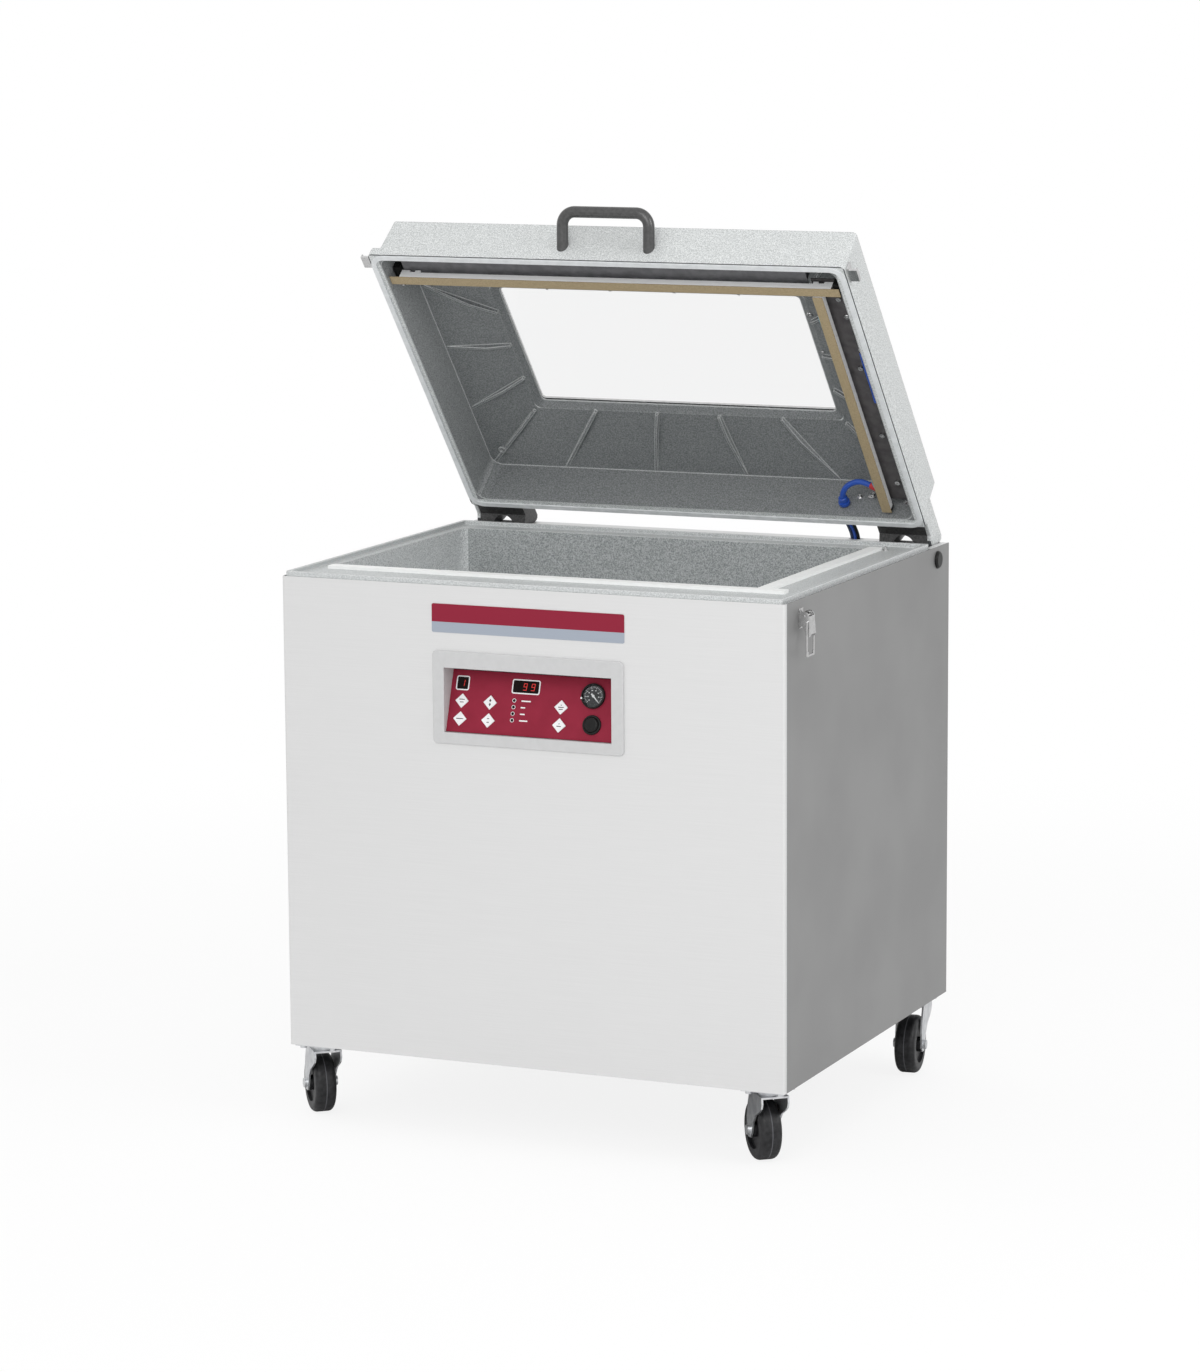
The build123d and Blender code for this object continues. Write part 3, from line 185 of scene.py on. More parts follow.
panelSteel = newMaterial("brushed panel", grey(0.73), 0.42, 0.5)
speckle(panelSteel, grey(0.722), grey(0.738), 4, stretch=(2, 2, 160))
roughen(panelSteel, 300, 0.02, stretch=(0.02, 1, 1))
# painted shade: the side panels are the same brushed steel as the front, given a much darker grey to stand in for
# their shade
sidePanelPaintedShade = newMaterial("brushed side panel", grey(0.29), 0.45, 0.6)
speckle(sidePanelPaintedShade, grey(0.275), grey(0.305), 5)
roughen(sidePanelPaintedShade, 300, 0.03, stretch=(1, 1, 0.02))
whiteSilicone = newMaterial("white silicone", (0.94, 0.95, 0.94), 0.45)
speckle(whiteSilicone, (0.93, 0.94, 0.93), (0.96, 0.97, 0.96), 60)
gasketRubber = newMaterial("gasket", (0.74, 0.76, 0.77), 0.6)
speckle(gasketRubber, (0.70, 0.72, 0.73), (0.78, 0.80, 0.81), 80)
darkCast = newMaterial("dark hinge casting", grey(0.035), 0.45)
speckle(darkCast, grey(0.028), grey(0.05), 400)
blackPlastic = newMaterial("black plastic", grey(0.012), 0.3, Specular_IOR_Level=0.16)
speckle(blackPlastic, grey(0.010), grey(0.015), 300)
paneMaterial = newMaterial("clear pane", (0.905, 0.907, 0.907), 0.02, 0.0, Transmission_Weight=1.0, IOR=1.12)
frameSteel = newMaterial("tube frame", grey(0.30), 0.5, 0.3)
speckle(frameSteel, grey(0.27), grey(0.33), 50)
brightSteel = newMaterial("bright steel", grey(0.62), 0.22, 1.0)
speckle(brightSteel, grey(0.56), grey(0.66), 120)
zincSteel = newMaterial("zinc steel", (0.62, 0.63, 0.64), 0.32, 0.9)
speckle(zincSteel, (0.52, 0.53, 0.55), (0.70, 0.71, 0.72), 60)
handleMetal = newMaterial("handle coating", grey(0.085), 0.32, 0.5)
speckle(handleMetal, grey(0.075), grey(0.095), 200)
darkSteel = newMaterial("dark steel", grey(0.10), 0.45, 0.5)
speckle(darkSteel, grey(0.08), grey(0.13), 80)
# painted reflection: the aluminium bar is partly pale on its own and is made near white and not metallic to stand in
# for its bright reflection
barPaleWithPaintedSheen = newMaterial("bar profile", grey(0.92), 0.4, 0.0)
speckle(barPaleWithPaintedSheen, grey(0.88), grey(0.96), 30, stretch=(1, 30, 30))
tanTape = newMaterial("tan tape", (0.37, 0.29, 0.17), 0.65)
speckle(tanTape, (0.33, 0.26, 0.15), (0.42, 0.33, 0.20), 500)
bluePlastic = newMaterial("blue lead", (0.02, 0.09, 0.46), 0.35)
speckle(bluePlastic, (0.018, 0.08, 0.42), (0.025, 0.10, 0.50), 40)
redSleeve = newMaterial("red sleeve", (0.50, 0.02, 0.03), 0.4)
speckle(redSleeve, (0.46, 0.02, 0.03), (0.54, 0.03, 0.03), 40)
bezelPlastic = newMaterial("bezel plastic", (0.57, 0.572, 0.575), 0.5)
speckle(bezelPlastic, (0.56, 0.562, 0.565), (0.58, 0.582, 0.585), 100)
crimsonFilm = newMaterial("crimson film", (0.26, 0.022, 0.048), 0.5, Specular_IOR_Level=0.12)
speckle(crimsonFilm, (0.255, 0.018, 0.040), (0.285, 0.021, 0.046), 30)
whiteFilm = newMaterial("white film", (0.85, 0.85, 0.86), 0.4)
speckle(whiteFilm, (0.83, 0.83, 0.84), (0.87, 0.87, 0.88), 60)
gaugeGlass = newMaterial("gauge glass", (0.86, 0.87, 0.87), 0.04, 0.0, Transmission_Weight=1.0, IOR=1.04)
speckle(gaugeGlass, (0.85, 0.86, 0.86), (0.87, 0.88, 0.88), 40)
lensBlack = newMaterial("dark lens", (0.008, 0.006, 0.006), 0.5, Specular_IOR_Level=0.03)
speckle(lensBlack, (0.010, 0.007, 0.007), (0.015, 0.010, 0.010), 50)
litRed = newMaterial("lit digit", (0.5, 0.02, 0.015), 0.4,
                     Emission_Color=(1, 0.03, 0.02, 1), Emission_Strength=0.30)
markInk = newMaterial("key mark ink", (0.05, 0.02, 0.03), 0.5)
speckle(markInk, (0.04, 0.02, 0.025), (0.06, 0.03, 0.04), 200)
dialInk = newMaterial("gauge dial", (0.05, 0.052, 0.055), 0.5)
speckle(dialInk, (0.045, 0.047, 0.05), (0.06, 0.062, 0.065), 200)
rubber = newMaterial("rubber foot", grey(0.016), 0.55)
speckle(rubber, grey(0.012), grey(0.022), 90)
darkLead = newMaterial("dark lead", (0.012, 0.03, 0.09), 0.4)
speckle(darkLead, (0.010, 0.025, 0.08), (0.015, 0.035, 0.10), 60)
paleLead = newMaterial("pale blue lead", (0.16, 0.42, 0.52), 0.4)
speckle(paleLead, (0.14, 0.39, 0.49), (0.18, 0.45, 0.55), 60)
pumpPaint = newMaterial("pump paint", (0.22, 0.24, 0.27), 0.45, 0.1)
speckle(pumpPaint, (0.20, 0.22, 0.25), (0.24, 0.26, 0.29), 40)
hosePvc = newMaterial("hose", (0.55, 0.57, 0.58), 0.4)
speckle(hosePvc, (0.50, 0.52, 0.53), (0.60, 0.62, 0.63), 4, stretch=(1, 1, 60))

labelStrip = {"joint": 0.8525, "above": (0.27, 0.0195, 0.043), "below": (0.36, 0.40, 0.465)}


def stripMaterial():
    # crimson above, blue grey below
    material = newMaterial("label strip", (0.26, 0.022, 0.048), 0.5, Specular_IOR_Level=0.12)
    height = splitAxes(material, objectPlace(material))[2]
    above = mathNode(material, "GREATER_THAN", height, labelStrip["joint"])
    setColor(material, rampBetween(material, above, labelStrip["below"], labelStrip["above"], 0.0, 1.0))
    return material


def softEdges(material, radius, bumpScale, bumpStrength):
    # rounds the shading at edges, adds the blasted grain, and returns how near an edge a point is, which the castings
    # use to paint highlights on their edges
    bevel = addNode(material, "ShaderNodeBevel", samples=4)
    bevel.inputs["Radius"].default_value = radius
    geometry = addNode(material, "ShaderNodeNewGeometry")
    dot = addNode(material, "ShaderNodeVectorMath", operation="DOT_PRODUCT")
    link(material, bevel.outputs["Normal"], dot.inputs[0])
    link(material, geometry.outputs["Normal"], dot.inputs[1])
    roughen(material, bumpScale, bumpStrength, normal=bevel.outputs["Normal"])
    flatCosine, edgeCosine = 0.995, 0.90
    return mapRange(material, dot.outputs["Value"], flatCosine, edgeCosine, 0.0, 1.0)


def facingRight(material):
    # 1 on faces turned to the right, which the castings paint paler as painted light, standing in for the light these
    # walls catch
    geometry = addNode(material, "ShaderNodeNewGeometry")
    return mathNode(material, "GREATER_THAN", splitAxes(material, geometry.outputs["Normal"])[0], 0.7)


def closedPlace(material):
    # coordinates on the lid as if it were shut
    turn = addNode(material, "ShaderNodeMapping")
    turn.inputs["Rotation"].default_value = (openAngle, 0, 0)
    turn.inputs["Location"].default_value = hinge - Matrix.Rotation(openAngle, 3, "X") @ hinge
    link(material, objectPlace(material), turn.inputs["Vector"])
    return splitAxes(material, turn.outputs["Vector"])


# the middle of the lid's casting, shut: between its outer skin and its cavity
lidSkin = {"rim": 0.916, "wallHeight": 0.071, "side": 0.4072, "sideDraft": 0.006, "front": 0.336,
           "rear": 0.2575, "rearDraft": 0.0095, "roofFoot": 0.9915, "roofRise": 0.030,
           "roofSide": (0.401, 0.102), "roofFront": (0.331, 0.141), "roofRear": (0.248, 0.115)}
gasketEdge = {"side": 0.4222, "front": 0.3392, "rear": 0.2732, "under": 0.9166, "joint": (0.07, 0.075, 0.08)}


def insideLid(material, reach, y, z):
    # 1 on the cavity's side of the casting, 0 on its outside
    def line(value, slope, start):
        return mathNode(material, "MULTIPLY_ADD", value, slope, start)

    def least(one, two):
        return mathNode(material, "MINIMUM", one, two)

    height = line(z, 1 / lidSkin["wallHeight"], -lidSkin["rim"] / lidSkin["wallHeight"])
    side = mathNode(material, "SUBTRACT", line(height, -lidSkin["sideDraft"], lidSkin["side"]), reach)
    front = mathNode(material, "ADD", y, lidSkin["front"])
    rear = mathNode(material, "SUBTRACT", line(height, -lidSkin["rearDraft"], lidSkin["rear"]), y)
    rise = 1.0
    for value, sign, name in ((reach, -1, "roofSide"), (y, 1, "roofFront"), (y, -1, "roofRear")):
        start, run = lidSkin[name]
        rise = least(line(value, sign / run, start / run), rise)
    roof = mathNode(material, "SUBTRACT", line(rise, lidSkin["roofRise"], lidSkin["roofFoot"]), z)
    return mathNode(material, "GREATER_THAN", least(least(side, front), least(rear, roof)), 0.0)


def lidMaterial():
    # pale blasted outside; painted shade makes the cavity darker, with painted highlights on its casting edges
    material = newMaterial("bead blasted lid", (0.62, 0.64, 0.64), 0.5, 0.15)
    x, y, z = closedPlace(material)
    reach = mathNode(material, "ABSOLUTE", x)
    edgeHighlightMask = softEdges(material, 0.0030, 900, 0.3)
    outer = grain(material, (0.47, 0.49, 0.488), (0.80, 0.82, 0.818), 520)
    # painted shade: the cavity's grain is much darker than the outside's, on the same casting
    inner = grain(material, (0.155, 0.165, 0.168), (0.31, 0.323, 0.327), 480)
    paintedLitGrain = grain(material, (0.24, 0.252, 0.255), (0.46, 0.475, 0.48), 480)
    # painted light: right-facing cavity walls get a paler grain
    inner = mixColor(material, facingRight(material), inner, paintedLitGrain)
    # painted highlight on the cavity's edges
    inner = mixColor(material, mathNode(material, "MULTIPLY", edgeHighlightMask, 0.9), inner, (0.86, 0.88, 0.88))
    base = mixColor(material, insideLid(material, reach, y, z), outer, inner)
    # painted shade: a dark line between the flange and the gasket's outer edge, where the flange's underside and the
    # gasket's shadow fall
    outside = mathNode(material, "GREATER_THAN", reach, gasketEdge["side"])
    ahead = mathNode(material, "LESS_THAN", y, -gasketEdge["front"])
    behind = mathNode(material, "GREATER_THAN", y, gasketEdge["rear"])
    outside = mathNode(material, "MAXIMUM", outside, mathNode(material, "MAXIMUM", ahead, behind))
    joint = mathNode(material, "MULTIPLY", outside, mathNode(material, "LESS_THAN", z, gasketEdge["under"]))
    setColor(material, mixColor(material, joint, base, gasketEdge["joint"]))
    return material


def chamberMaterial():
    # rim and ledge paler than the deep tub: painted shade darkens the tub of the same casting
    material = newMaterial("chamber casting", (0.45, 0.47, 0.47), 0.5, 0.15)
    ledgeHeight = 0.9126
    above = mathNode(material, "GREATER_THAN", splitAxes(material, objectPlace(material))[2], ledgeHeight)
    edgeHighlightMask = softEdges(material, 0.0025, 800, 0.35)
    # painted shade: the tub's grain is darker than the rim's
    tub = grain(material, (0.26, 0.278, 0.281), (0.56, 0.582, 0.584), 480)
    rim = grain(material, (0.44, 0.458, 0.46), (0.68, 0.70, 0.70), 520)
    paintedLitGrain = grain(material, (0.50, 0.52, 0.525), (0.90, 0.92, 0.92), 480)
    # painted light: right-facing tub walls get a paler grain
    tub = mixColor(material, facingRight(material), tub, paintedLitGrain)
    base = mixColor(material, above, tub, rim)
    # painted highlight: edges mixed towards near white
    setColor(material, mixColor(material, mathNode(material, "MULTIPLY", edgeHighlightMask, 0.75), base, (0.90, 0.91, 0.91)))
    return material


def carrierMaterial():
    # the front shelf is painted paler than the side one: painted light on the front shelf, painted shade on the side
    # one
    material = newMaterial("bar carrier", grey(0.12), 0.45, 0.3)
    sideCarrierStart = 0.3435
    side = mathNode(material, "GREATER_THAN", closedPlace(material)[0], sideCarrierStart)
    front = grain(material, (0.15, 0.15, 0.158), (0.20, 0.20, 0.208), 60)
    dark = grain(material, (0.075, 0.07, 0.072), (0.115, 0.108, 0.11), 60)
    setColor(material, mixColor(material, side, front, dark))
    return material


def hingeMaterial():
    material = newMaterial("dark hinge casting", grey(0.06), 0.45, 0.2)
    edgeHighlightMask = softEdges(material, 0.002, 600, 0.25)
    base = grain(material, grey(0.045), grey(0.085), 300)
    # painted highlight: edges mixed towards a pale grey
    setColor(material, mixColor(material, mathNode(material, "MULTIPLY", edgeHighlightMask, 0.7), base, grey(0.30)))
    return material


# where each caster's kingpin stands and how far its fork is swung, in degrees
casters = {"front_left": ((-0.398, -0.340, 0.05), 40), "front_right": ((0.398, -0.340, 0.05), 40),
           "rear_left": ((-0.398, 0.340, 0.05), 172), "rear_right": ((0.398, 0.340, 0.05), 186.5)}


def wheelMaterial(corner):
    # black tyre with a fine moulding line round the middle of its tread
    spot, turn = casters[corner]
    material = newMaterial(f"tyre {corner}", grey(0.016), 0.42, Specular_IOR_Level=0.35)
    axis = Vector((math.cos(math.radians(turn)), math.sin(math.radians(turn)), 0))
    dot = addNode(material, "ShaderNodeVectorMath", operation="DOT_PRODUCT")
    dot.inputs[1].default_value = axis
    link(material, objectPlace(material), dot.inputs[0])
    away = mathNode(material, "SUBTRACT", dot.outputs["Value"], axis.dot(Vector(spot)))
    mouldingHalf = 0.0008
    line = mathNode(material, "LESS_THAN", mathNode(material, "ABSOLUTE", away), mouldingHalf)
    base = grain(material, (0.008, 0.008, 0.009), (0.024, 0.024, 0.026), 120)
    setColor(material, mixColor(material, line, base, (0.10, 0.10, 0.11)))
    roughen(material, 260, 0.2)
    return material


castOuter = lidMaterial()
nodeMaterials = {
    "base_frame": frameSteel, "front_panel": panelSteel, "left_panel": sidePanelPaintedShade, "right_panel": sidePanelPaintedShade,
    "rear_cover": panelSteel, "chamber": chamberMaterial(), "counter_bars": whiteSilicone,
    "hinge_bearings": darkCast, "lid_springs": darkSteel, "side_plugs": blackPlastic,
    "label_strip": stripMaterial(), "control_bezel": bezelPlastic, "keypad_panel": crimsonFilm,
    "indicator_windows": lensBlack, "gauge_body": blackPlastic, "gauge_glass": gaugeGlass,
    "button_collar": blackPlastic, "control_box": frameSteel, "vacuum_pump": pumpPaint,
    "pump_motor": pumpPaint, "pump_feet": rubber, "vacuum_hose": hosePvc, "caster_plates": zincSteel,
    "hinge_cable": bluePlastic, "latch_bases": brightSteel, "lid_casting": castOuter,
    "lid_window": paneMaterial, "window_frame": brightSteel, "lid_gasket": gasketRubber,
    "lid_handle": handleMetal, "hinge_arms": hingeMaterial(), "hinge_shaft": brightSteel,
    "bar_carriers": carrierMaterial(), "lid_keepers": brightSteel, "lid_screws": brightSteel,
    "lid_cables": bluePlastic, "front_seal_bar": barPaleWithPaintedSheen, "side_seal_bar": barPaleWithPaintedSheen,
    "front_seal_tape": tanTape, "side_seal_tape": tanTape, "power_button": blackPlastic,
    "gauge_needle": whiteFilm,
}
for name, node in nodes.items():
    material = nodeMaterials.get(name)
    if name.startswith("key_"):
        material = whiteFilm
    elif name.startswith("latch_"):
        material = brightSteel
    elif name.startswith("caster_fork"):
        material = zincSteel
    elif name.startswith("caster_wheel"):
        material = wheelMaterial(name.replace("caster_wheel_", ""))
    node.data.materials.clear()
    node.data.materials.append(material)
print("materials set")


# light and background
studio = {"rightLight": 0.55, "lowLight": 0.42, "skyLight": 0.92, "floorGlow": 0.86, "floorSize": 40,
          "fadeStart": 1.3, "fadeEnd": 3.2, "rightFade": (-0.2, 0.7), "upFade": (-0.6, 0.3)}
lamps = {"key": {"place": (0.9, -3.9, 3.0), "target": (0, 0, 0.7), "size": 2.4, "power": 50},
         "fill": {"place": (3.4, -0.6, 2.6), "target": (-0.3, 0, 0.85), "size": 1.6, "power": 34}}


def worldLight():
    # white where it is seen directly, in gloss or through the pane;
    # as light it is weaker from the right and from below
    world = bpy.data.worlds.new("studio")
    bpy.context.scene.world = world
    world.use_nodes = True
    tree = world.node_tree
    background = tree.nodes["Background"]
    place = tree.nodes.new("ShaderNodeTexCoord")
    split = tree.nodes.new("ShaderNodeSeparateXYZ")
    tree.links.new(place.outputs["Generated"], split.inputs["Vector"])

    def spread(source, low, high, start, end):
        node = tree.nodes.new("ShaderNodeMapRange")
        node.interpolation_type = "SMOOTHSTEP"
        for socket, value in (("From Min", low), ("From Max", high), ("To Min", start), ("To Max", end)):
            node.inputs[socket].default_value = value
        tree.links.new(source, node.inputs["Value"])
        return node.outputs["Result"]

    def combine(operation, one, two):
        node = tree.nodes.new("ShaderNodeMath")
        node.operation = operation
        tree.links.new(one, node.inputs[0])
        tree.links.new(two, node.inputs[1])
        return node.outputs[0]

    sky = studio["skyLight"]
    rightward = spread(split.outputs["X"], *studio["rightFade"], sky, sky * studio["rightLight"])
    upward = spread(split.outputs["Z"], *studio["upFade"], studio["lowLight"], 1.0)
    light = combine("MULTIPLY", rightward, upward)
    rays = tree.nodes.new("ShaderNodeLightPath")
    seen = combine("MAXIMUM", rays.outputs["Is Camera Ray"], rays.outputs["Is Transmission Ray"])
    seen = combine("MAXIMUM", seen, rays.outputs["Is Glossy Ray"])
    white = tree.nodes.new("ShaderNodeMix")
    tree.links.new(seen, white.inputs["Factor"])
    tree.links.new(light, white.inputs["A"])
    white.inputs["B"].default_value = 1.0
    tree.links.new(white.outputs["Result"], background.inputs["Strength"])
    background.inputs["Color"].default_value = (1, 1, 1, 1)


def makeFloor():
    # pale floor that glows towards the viewer and keeps a faint shadow
    material = newMaterial("pale floor", grey(0.92), 0.9)
    speckle(material, grey(0.915), grey(0.925), 2)
    rays = addNode(material, "ShaderNodeLightPath")
    glow = addNode(material, "ShaderNodeEmission")
    mix = addNode(material, "ShaderNodeMixShader")
    far = addNode(material, "ShaderNodeVectorMath", operation="LENGTH")
    link(material, objectPlace(material), far.inputs[0])
    fade = mapRange(material, far.outputs["Value"], studio["fadeStart"], studio["fadeEnd"],
                    studio["floorGlow"], 1.0, interpolation_type="SMOOTHSTEP")
    seen = mathNode(material, "MAXIMUM", rays.outputs["Is Camera Ray"], rays.outputs["Is Transmission Ray"])
    link(material, mathNode(material, "MULTIPLY", seen, fade), mix.inputs[0])
    link(material, shaderOf(material).outputs[0], mix.inputs[1])
    link(material, glow.outputs[0], mix.inputs[2])
    output = next(node for node in material.node_tree.nodes if node.type == "OUTPUT_MATERIAL")
    link(material, mix.outputs[0], output.inputs["Surface"])
    half = studio["floorSize"] / 2
    data = bpy.data.meshes.new("floor")
    data.from_pydata([(-half, -half, 0), (half, -half, 0), (half, half, 0), (-half, half, 0)], [], [(0, 1, 2, 3)])
    floor = bpy.data.objects.new("floor", data)
    data.materials.append(material)
    collection.objects.link(floor)


def areaLight(name, place, target, size, power):
    light = bpy.data.lights.new(name, "AREA")
    light.energy = power
    light.size = size
    lamp = bpy.data.objects.new(name, light)
    collection.objects.link(lamp)
    lamp.location = place
    lamp.rotation_euler = (Vector(target) - Vector(place)).to_track_quat("-Z", "Y").to_euler()


worldLight()
makeFloor()
for name, lamp in lamps.items():
    areaLight(name, **lamp)


# camera
view = {"yaw": 23.72, "pitch": 9.57, "roll": -0.376, "place": (3.046, -7.030, 1.989), "lens": 121.8}


def placeCamera():
    yaw, pitch, roll = (math.radians(view[turn]) for turn in ("yaw", "pitch", "roll"))
    forward = Vector((-math.sin(yaw) * math.cos(pitch), math.cos(yaw) * math.cos(pitch), -math.sin(pitch)))
    right = Vector((math.cos(yaw), math.sin(yaw), 0))
    up = right.cross(forward)
    turnedRight = math.cos(roll) * right + math.sin(roll) * up
    turnedUp = -math.sin(roll) * right + math.cos(roll) * up
    camera = bpy.data.objects.new("camera", bpy.data.cameras.new("camera"))
    camera.data.lens = view["lens"]
    camera.data.sensor_width = 36
    camera.data.clip_end = 50
    collection.objects.link(camera)
    turn = Matrix((turnedRight, turnedUp, -forward)).transposed().to_4x4()
    camera.matrix_world = Matrix.Translation(view["place"]) @ turn
    bpy.context.scene.camera = camera


placeCamera()
bpy.context.scene.view_settings.view_transform = "Standard"
print("camera and light set")


# mesh helpers: a piece is a bmesh turned into an object
def makeObject(name, mesh, material):
    bmesh.ops.recalc_face_normals(mesh, faces=mesh.faces)
    data = bpy.data.meshes.new(name)
    mesh.to_mesh(data)
    mesh.free()
    data.polygons.foreach_set("use_smooth", [True] * len(data.polygons))
    data.materials.append(material)
    piece = bpy.data.objects.new(name, data)
    collection.objects.link(piece)
    return piece


def makePiece(name, mesh, material, body, place):
    # a piece that rides on one body
    if place is not None:
        mesh.transform(place)
    piece = makeObject(name, mesh, material)
    piece.data.set_sharp_from_angle(angle=math.radians(30))
    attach(piece, body)


def addBlock(mesh, x0, x1, y0, y1, z0, z1, soft=0.0, steps=2):
    # corner to corner, with softened edges
    made = bmesh.ops.create_cube(mesh, size=1)["verts"]
    bmesh.ops.scale(mesh, vec=(x1 - x0, y1 - y0, z1 - z0), verts=made)
    bmesh.ops.translate(mesh, vec=((x0 + x1) / 2, (y0 + y1) / 2, (z0 + z1) / 2), verts=made)
    if soft:
        edges = {edge for vert in made for edge in vert.link_edges}
        bmesh.ops.bevel(mesh, geom=list(edges), offset=soft, segments=steps, affect="EDGES", profile=0.5)


def addRound(mesh, rings, sides=32, place=None):
    # a turned shape: rings are (radius, height) pairs up its axis, closed at both ends
    loops = []
    for radius, height in rings:
        loop = []
        for number in range(sides):
            angle = 2 * math.pi * number / sides
            point = Vector((radius * math.cos(angle), radius * math.sin(angle), height))
            loop.append(mesh.verts.new(place @ point if place else point))
        loops.append(loop)
    for lower, upper in zip(loops, loops[1:]):
        for number in range(sides):
            after = (number + 1) % sides
            mesh.faces.new((lower[number], lower[after], upper[after], upper[number]))
    mesh.faces.new(reversed(loops[0]))
    mesh.faces.new(loops[-1])


def addOutline(mesh, points, low, high):
    # a flat plate from an outline
    bottom = [mesh.verts.new((x, y, low)) for x, y in points]
    top = [mesh.verts.new((x, y, high)) for x, y in points]
    count = len(points)
    mesh.faces.new(reversed(bottom))
    mesh.faces.new(top)
    for number in range(count):
        after = (number + 1) % count
        mesh.faces.new((bottom[number], bottom[after], top[after], top[number]))


def addFrame(mesh, outer, inner, low, high):
    # a flat ring between two outlines with the same number of points
    count = len(outer)
    rings = [[mesh.verts.new((x, y, z)) for x, y in line]
             for line, z in ((outer, low), (outer, high), (inner, high), (inner, low))]
    rings.append(rings[0])
    for one, two in zip(rings, rings[1:]):
        for number in range(count):
            after = (number + 1) % count
            mesh.faces.new((one[number], one[after], two[after], two[number]))


def roundedRect(width, height, radius, centre=(0, 0), steps=6):
    points = []
    for cx, cy, start in ((1, 1, 0), (-1, 1, 90), (-1, -1, 180), (1, -1, 270)):
        for step in range(steps + 1):
            angle = math.radians(start + 90 * step / steps)
            points.append((centre[0] + cx * (width / 2 - radius) + radius * math.cos(angle),
                           centre[1] + cy * (height / 2 - radius) + radius * math.sin(angle)))
    return points


def circle(radius, centre=(0, 0), sides=24):
    return [(centre[0] + radius * math.cos(2 * math.pi * number / sides),
             centre[1] + radius * math.sin(2 * math.pi * number / sides)) for number in range(sides)]


# control panel print, drawn on the leaning plate: x along it, y up it, z out of it
panelPrint = {"displays": ((-0.128, 0.020), (-0.016, 0.046)), "displayRow": 0.081, "windowHeight": 0.0205,
              "windowCorner": 0.0020, "overlap": 0.0006, "outline": 0.0016, "outlineCorner": 0.0035,
              "outlineProud": 0.0006,
              "digits": ((-0.1275, "1", 0.86), (-0.0175, "9", 0.92), (-0.0035, "9", 0.92)),
              "digitHeight": 0.0125, "digitWidth": 0.0068, "stroke": 0.0010, "slant": 0.1, "segmentGap": 0.0004,
              "lampX": -0.034, "lampRows": (0.0579, 0.0472, 0.0365, 0.0258), "lampRing": (0.0033, 0.0026),
              "markStart": -0.0215, "markLengths": (0.0165, 0.008, 0.0085, 0.0145), "markHeight": 0.0021,
              "proud": 0.0004}
digitSegments = {"1": ("topRight", "lowRight"),
                 "9": ("top", "middle", "bottom", "topLeft", "topRight", "lowRight")}
# each key's bars as (rise from its middle, length); key 3 carries the arrows
keyPrint = {"columns": (-0.126, -0.076, 0.049), "rows": (0.052, 0.0227), "face": 0.0008,
            "bars": {1: ((0.0022, 0.0095), (-0.0022, 0.0065)), 2: ((0.0, 0.0125),),
                     4: ((0.003, 0.004), (-0.003, 0.004)),
                     5: ((0.0035, 0.0018), (0.0, 0.010), (-0.0035, 0.007)),
                     6: ((0.0025, 0.0018), (-0.0015, 0.0075))},
            "arrow": ((0, 0.0062), (-0.0022, 0.0026), (-0.0008, 0.0026), (-0.0008, 0.0008),
                      (0.0008, 0.0008), (0.0008, 0.0026), (0.0022, 0.0026))}
gaugePrint = {"centre": (0.103, 0.0735), "radius": 0.0180, "face": 0.0010, "ticks": 28, "sweep": 270,
              "tickOuter": 0.0158, "majorInner": 0.0118, "minorInner": 0.0133, "numberRadius": 0.0094,
              "majorHalf": 0.00035, "minorHalf": 0.0002, "stud": (-0.0188, -0.0048, 0.0042),
              "studRings": ((0.0017, 0.0), (0.0017, 0.0012), (0.0012, 0.0018), (0.0004, 0.002))}


def drawDigit(mesh, x, y, digit, size):
    half, reach = panelPrint["digitHeight"] * size / 2, panelPrint["digitWidth"] * size / 2
    stroke, gap, slant = panelPrint["stroke"], panelPrint["segmentGap"], panelPrint["slant"]
    low = panelPrint["proud"]
    bars = {"top": (-reach, reach, half - stroke, half), "middle": (-reach, reach, -stroke / 2, stroke / 2),
            "bottom": (-reach, reach, -half, -half + stroke),
            "topLeft": (-reach, -reach + stroke, gap, half - gap),
            "topRight": (reach - stroke, reach, gap, half - gap),
            "lowRight": (reach - stroke, reach, -half + gap, -gap)}
    for segment in digitSegments[digit]:
        x0, x1, y0, y1 = bars[segment]
        corners = [(x0, y0), (x1, y0), (x1, y1), (x0, y1)]
        addOutline(mesh, [(x + cx + slant * cy, y + cy) for cx, cy in corners], low, low + 0.00015)


def panelPieces():
    outlines, digits = bmesh.new(), bmesh.new()
    height, rim, overlap = panelPrint["windowHeight"], panelPrint["outline"], panelPrint["overlap"]
    y = panelPrint["displayRow"]
    for x, width in panelPrint["displays"]:
        outer = roundedRect(width + 2 * rim, height + 2 * rim, panelPrint["outlineCorner"], (x, y))
        inner = roundedRect(width - overlap, height - overlap, panelPrint["windowCorner"], (x, y))
        addFrame(outlines, outer, inner, 0.0, panelPrint["outlineProud"])
    for x, digit, size in panelPrint["digits"]:
        drawDigit(digits, x, y, digit, size)
    x, start = panelPrint["lampX"], panelPrint["markStart"]
    outer, inner = panelPrint["lampRing"]
    for row, length in zip(panelPrint["lampRows"], panelPrint["markLengths"]):
        addFrame(outlines, circle(outer, (x, row)), circle(inner, (x, row)), 0.0, 0.00065)
        bar = roundedRect(length, panelPrint["markHeight"], 0.0006, (start + length / 2, row), 3)
        addOutline(outlines, bar, 0.0, 0.0002)
    makePiece("display_outlines", outlines, whiteFilm, "cabinet", plateFrame)
    makePiece("display_digits", digits, litRed, "cabinet", plateFrame)


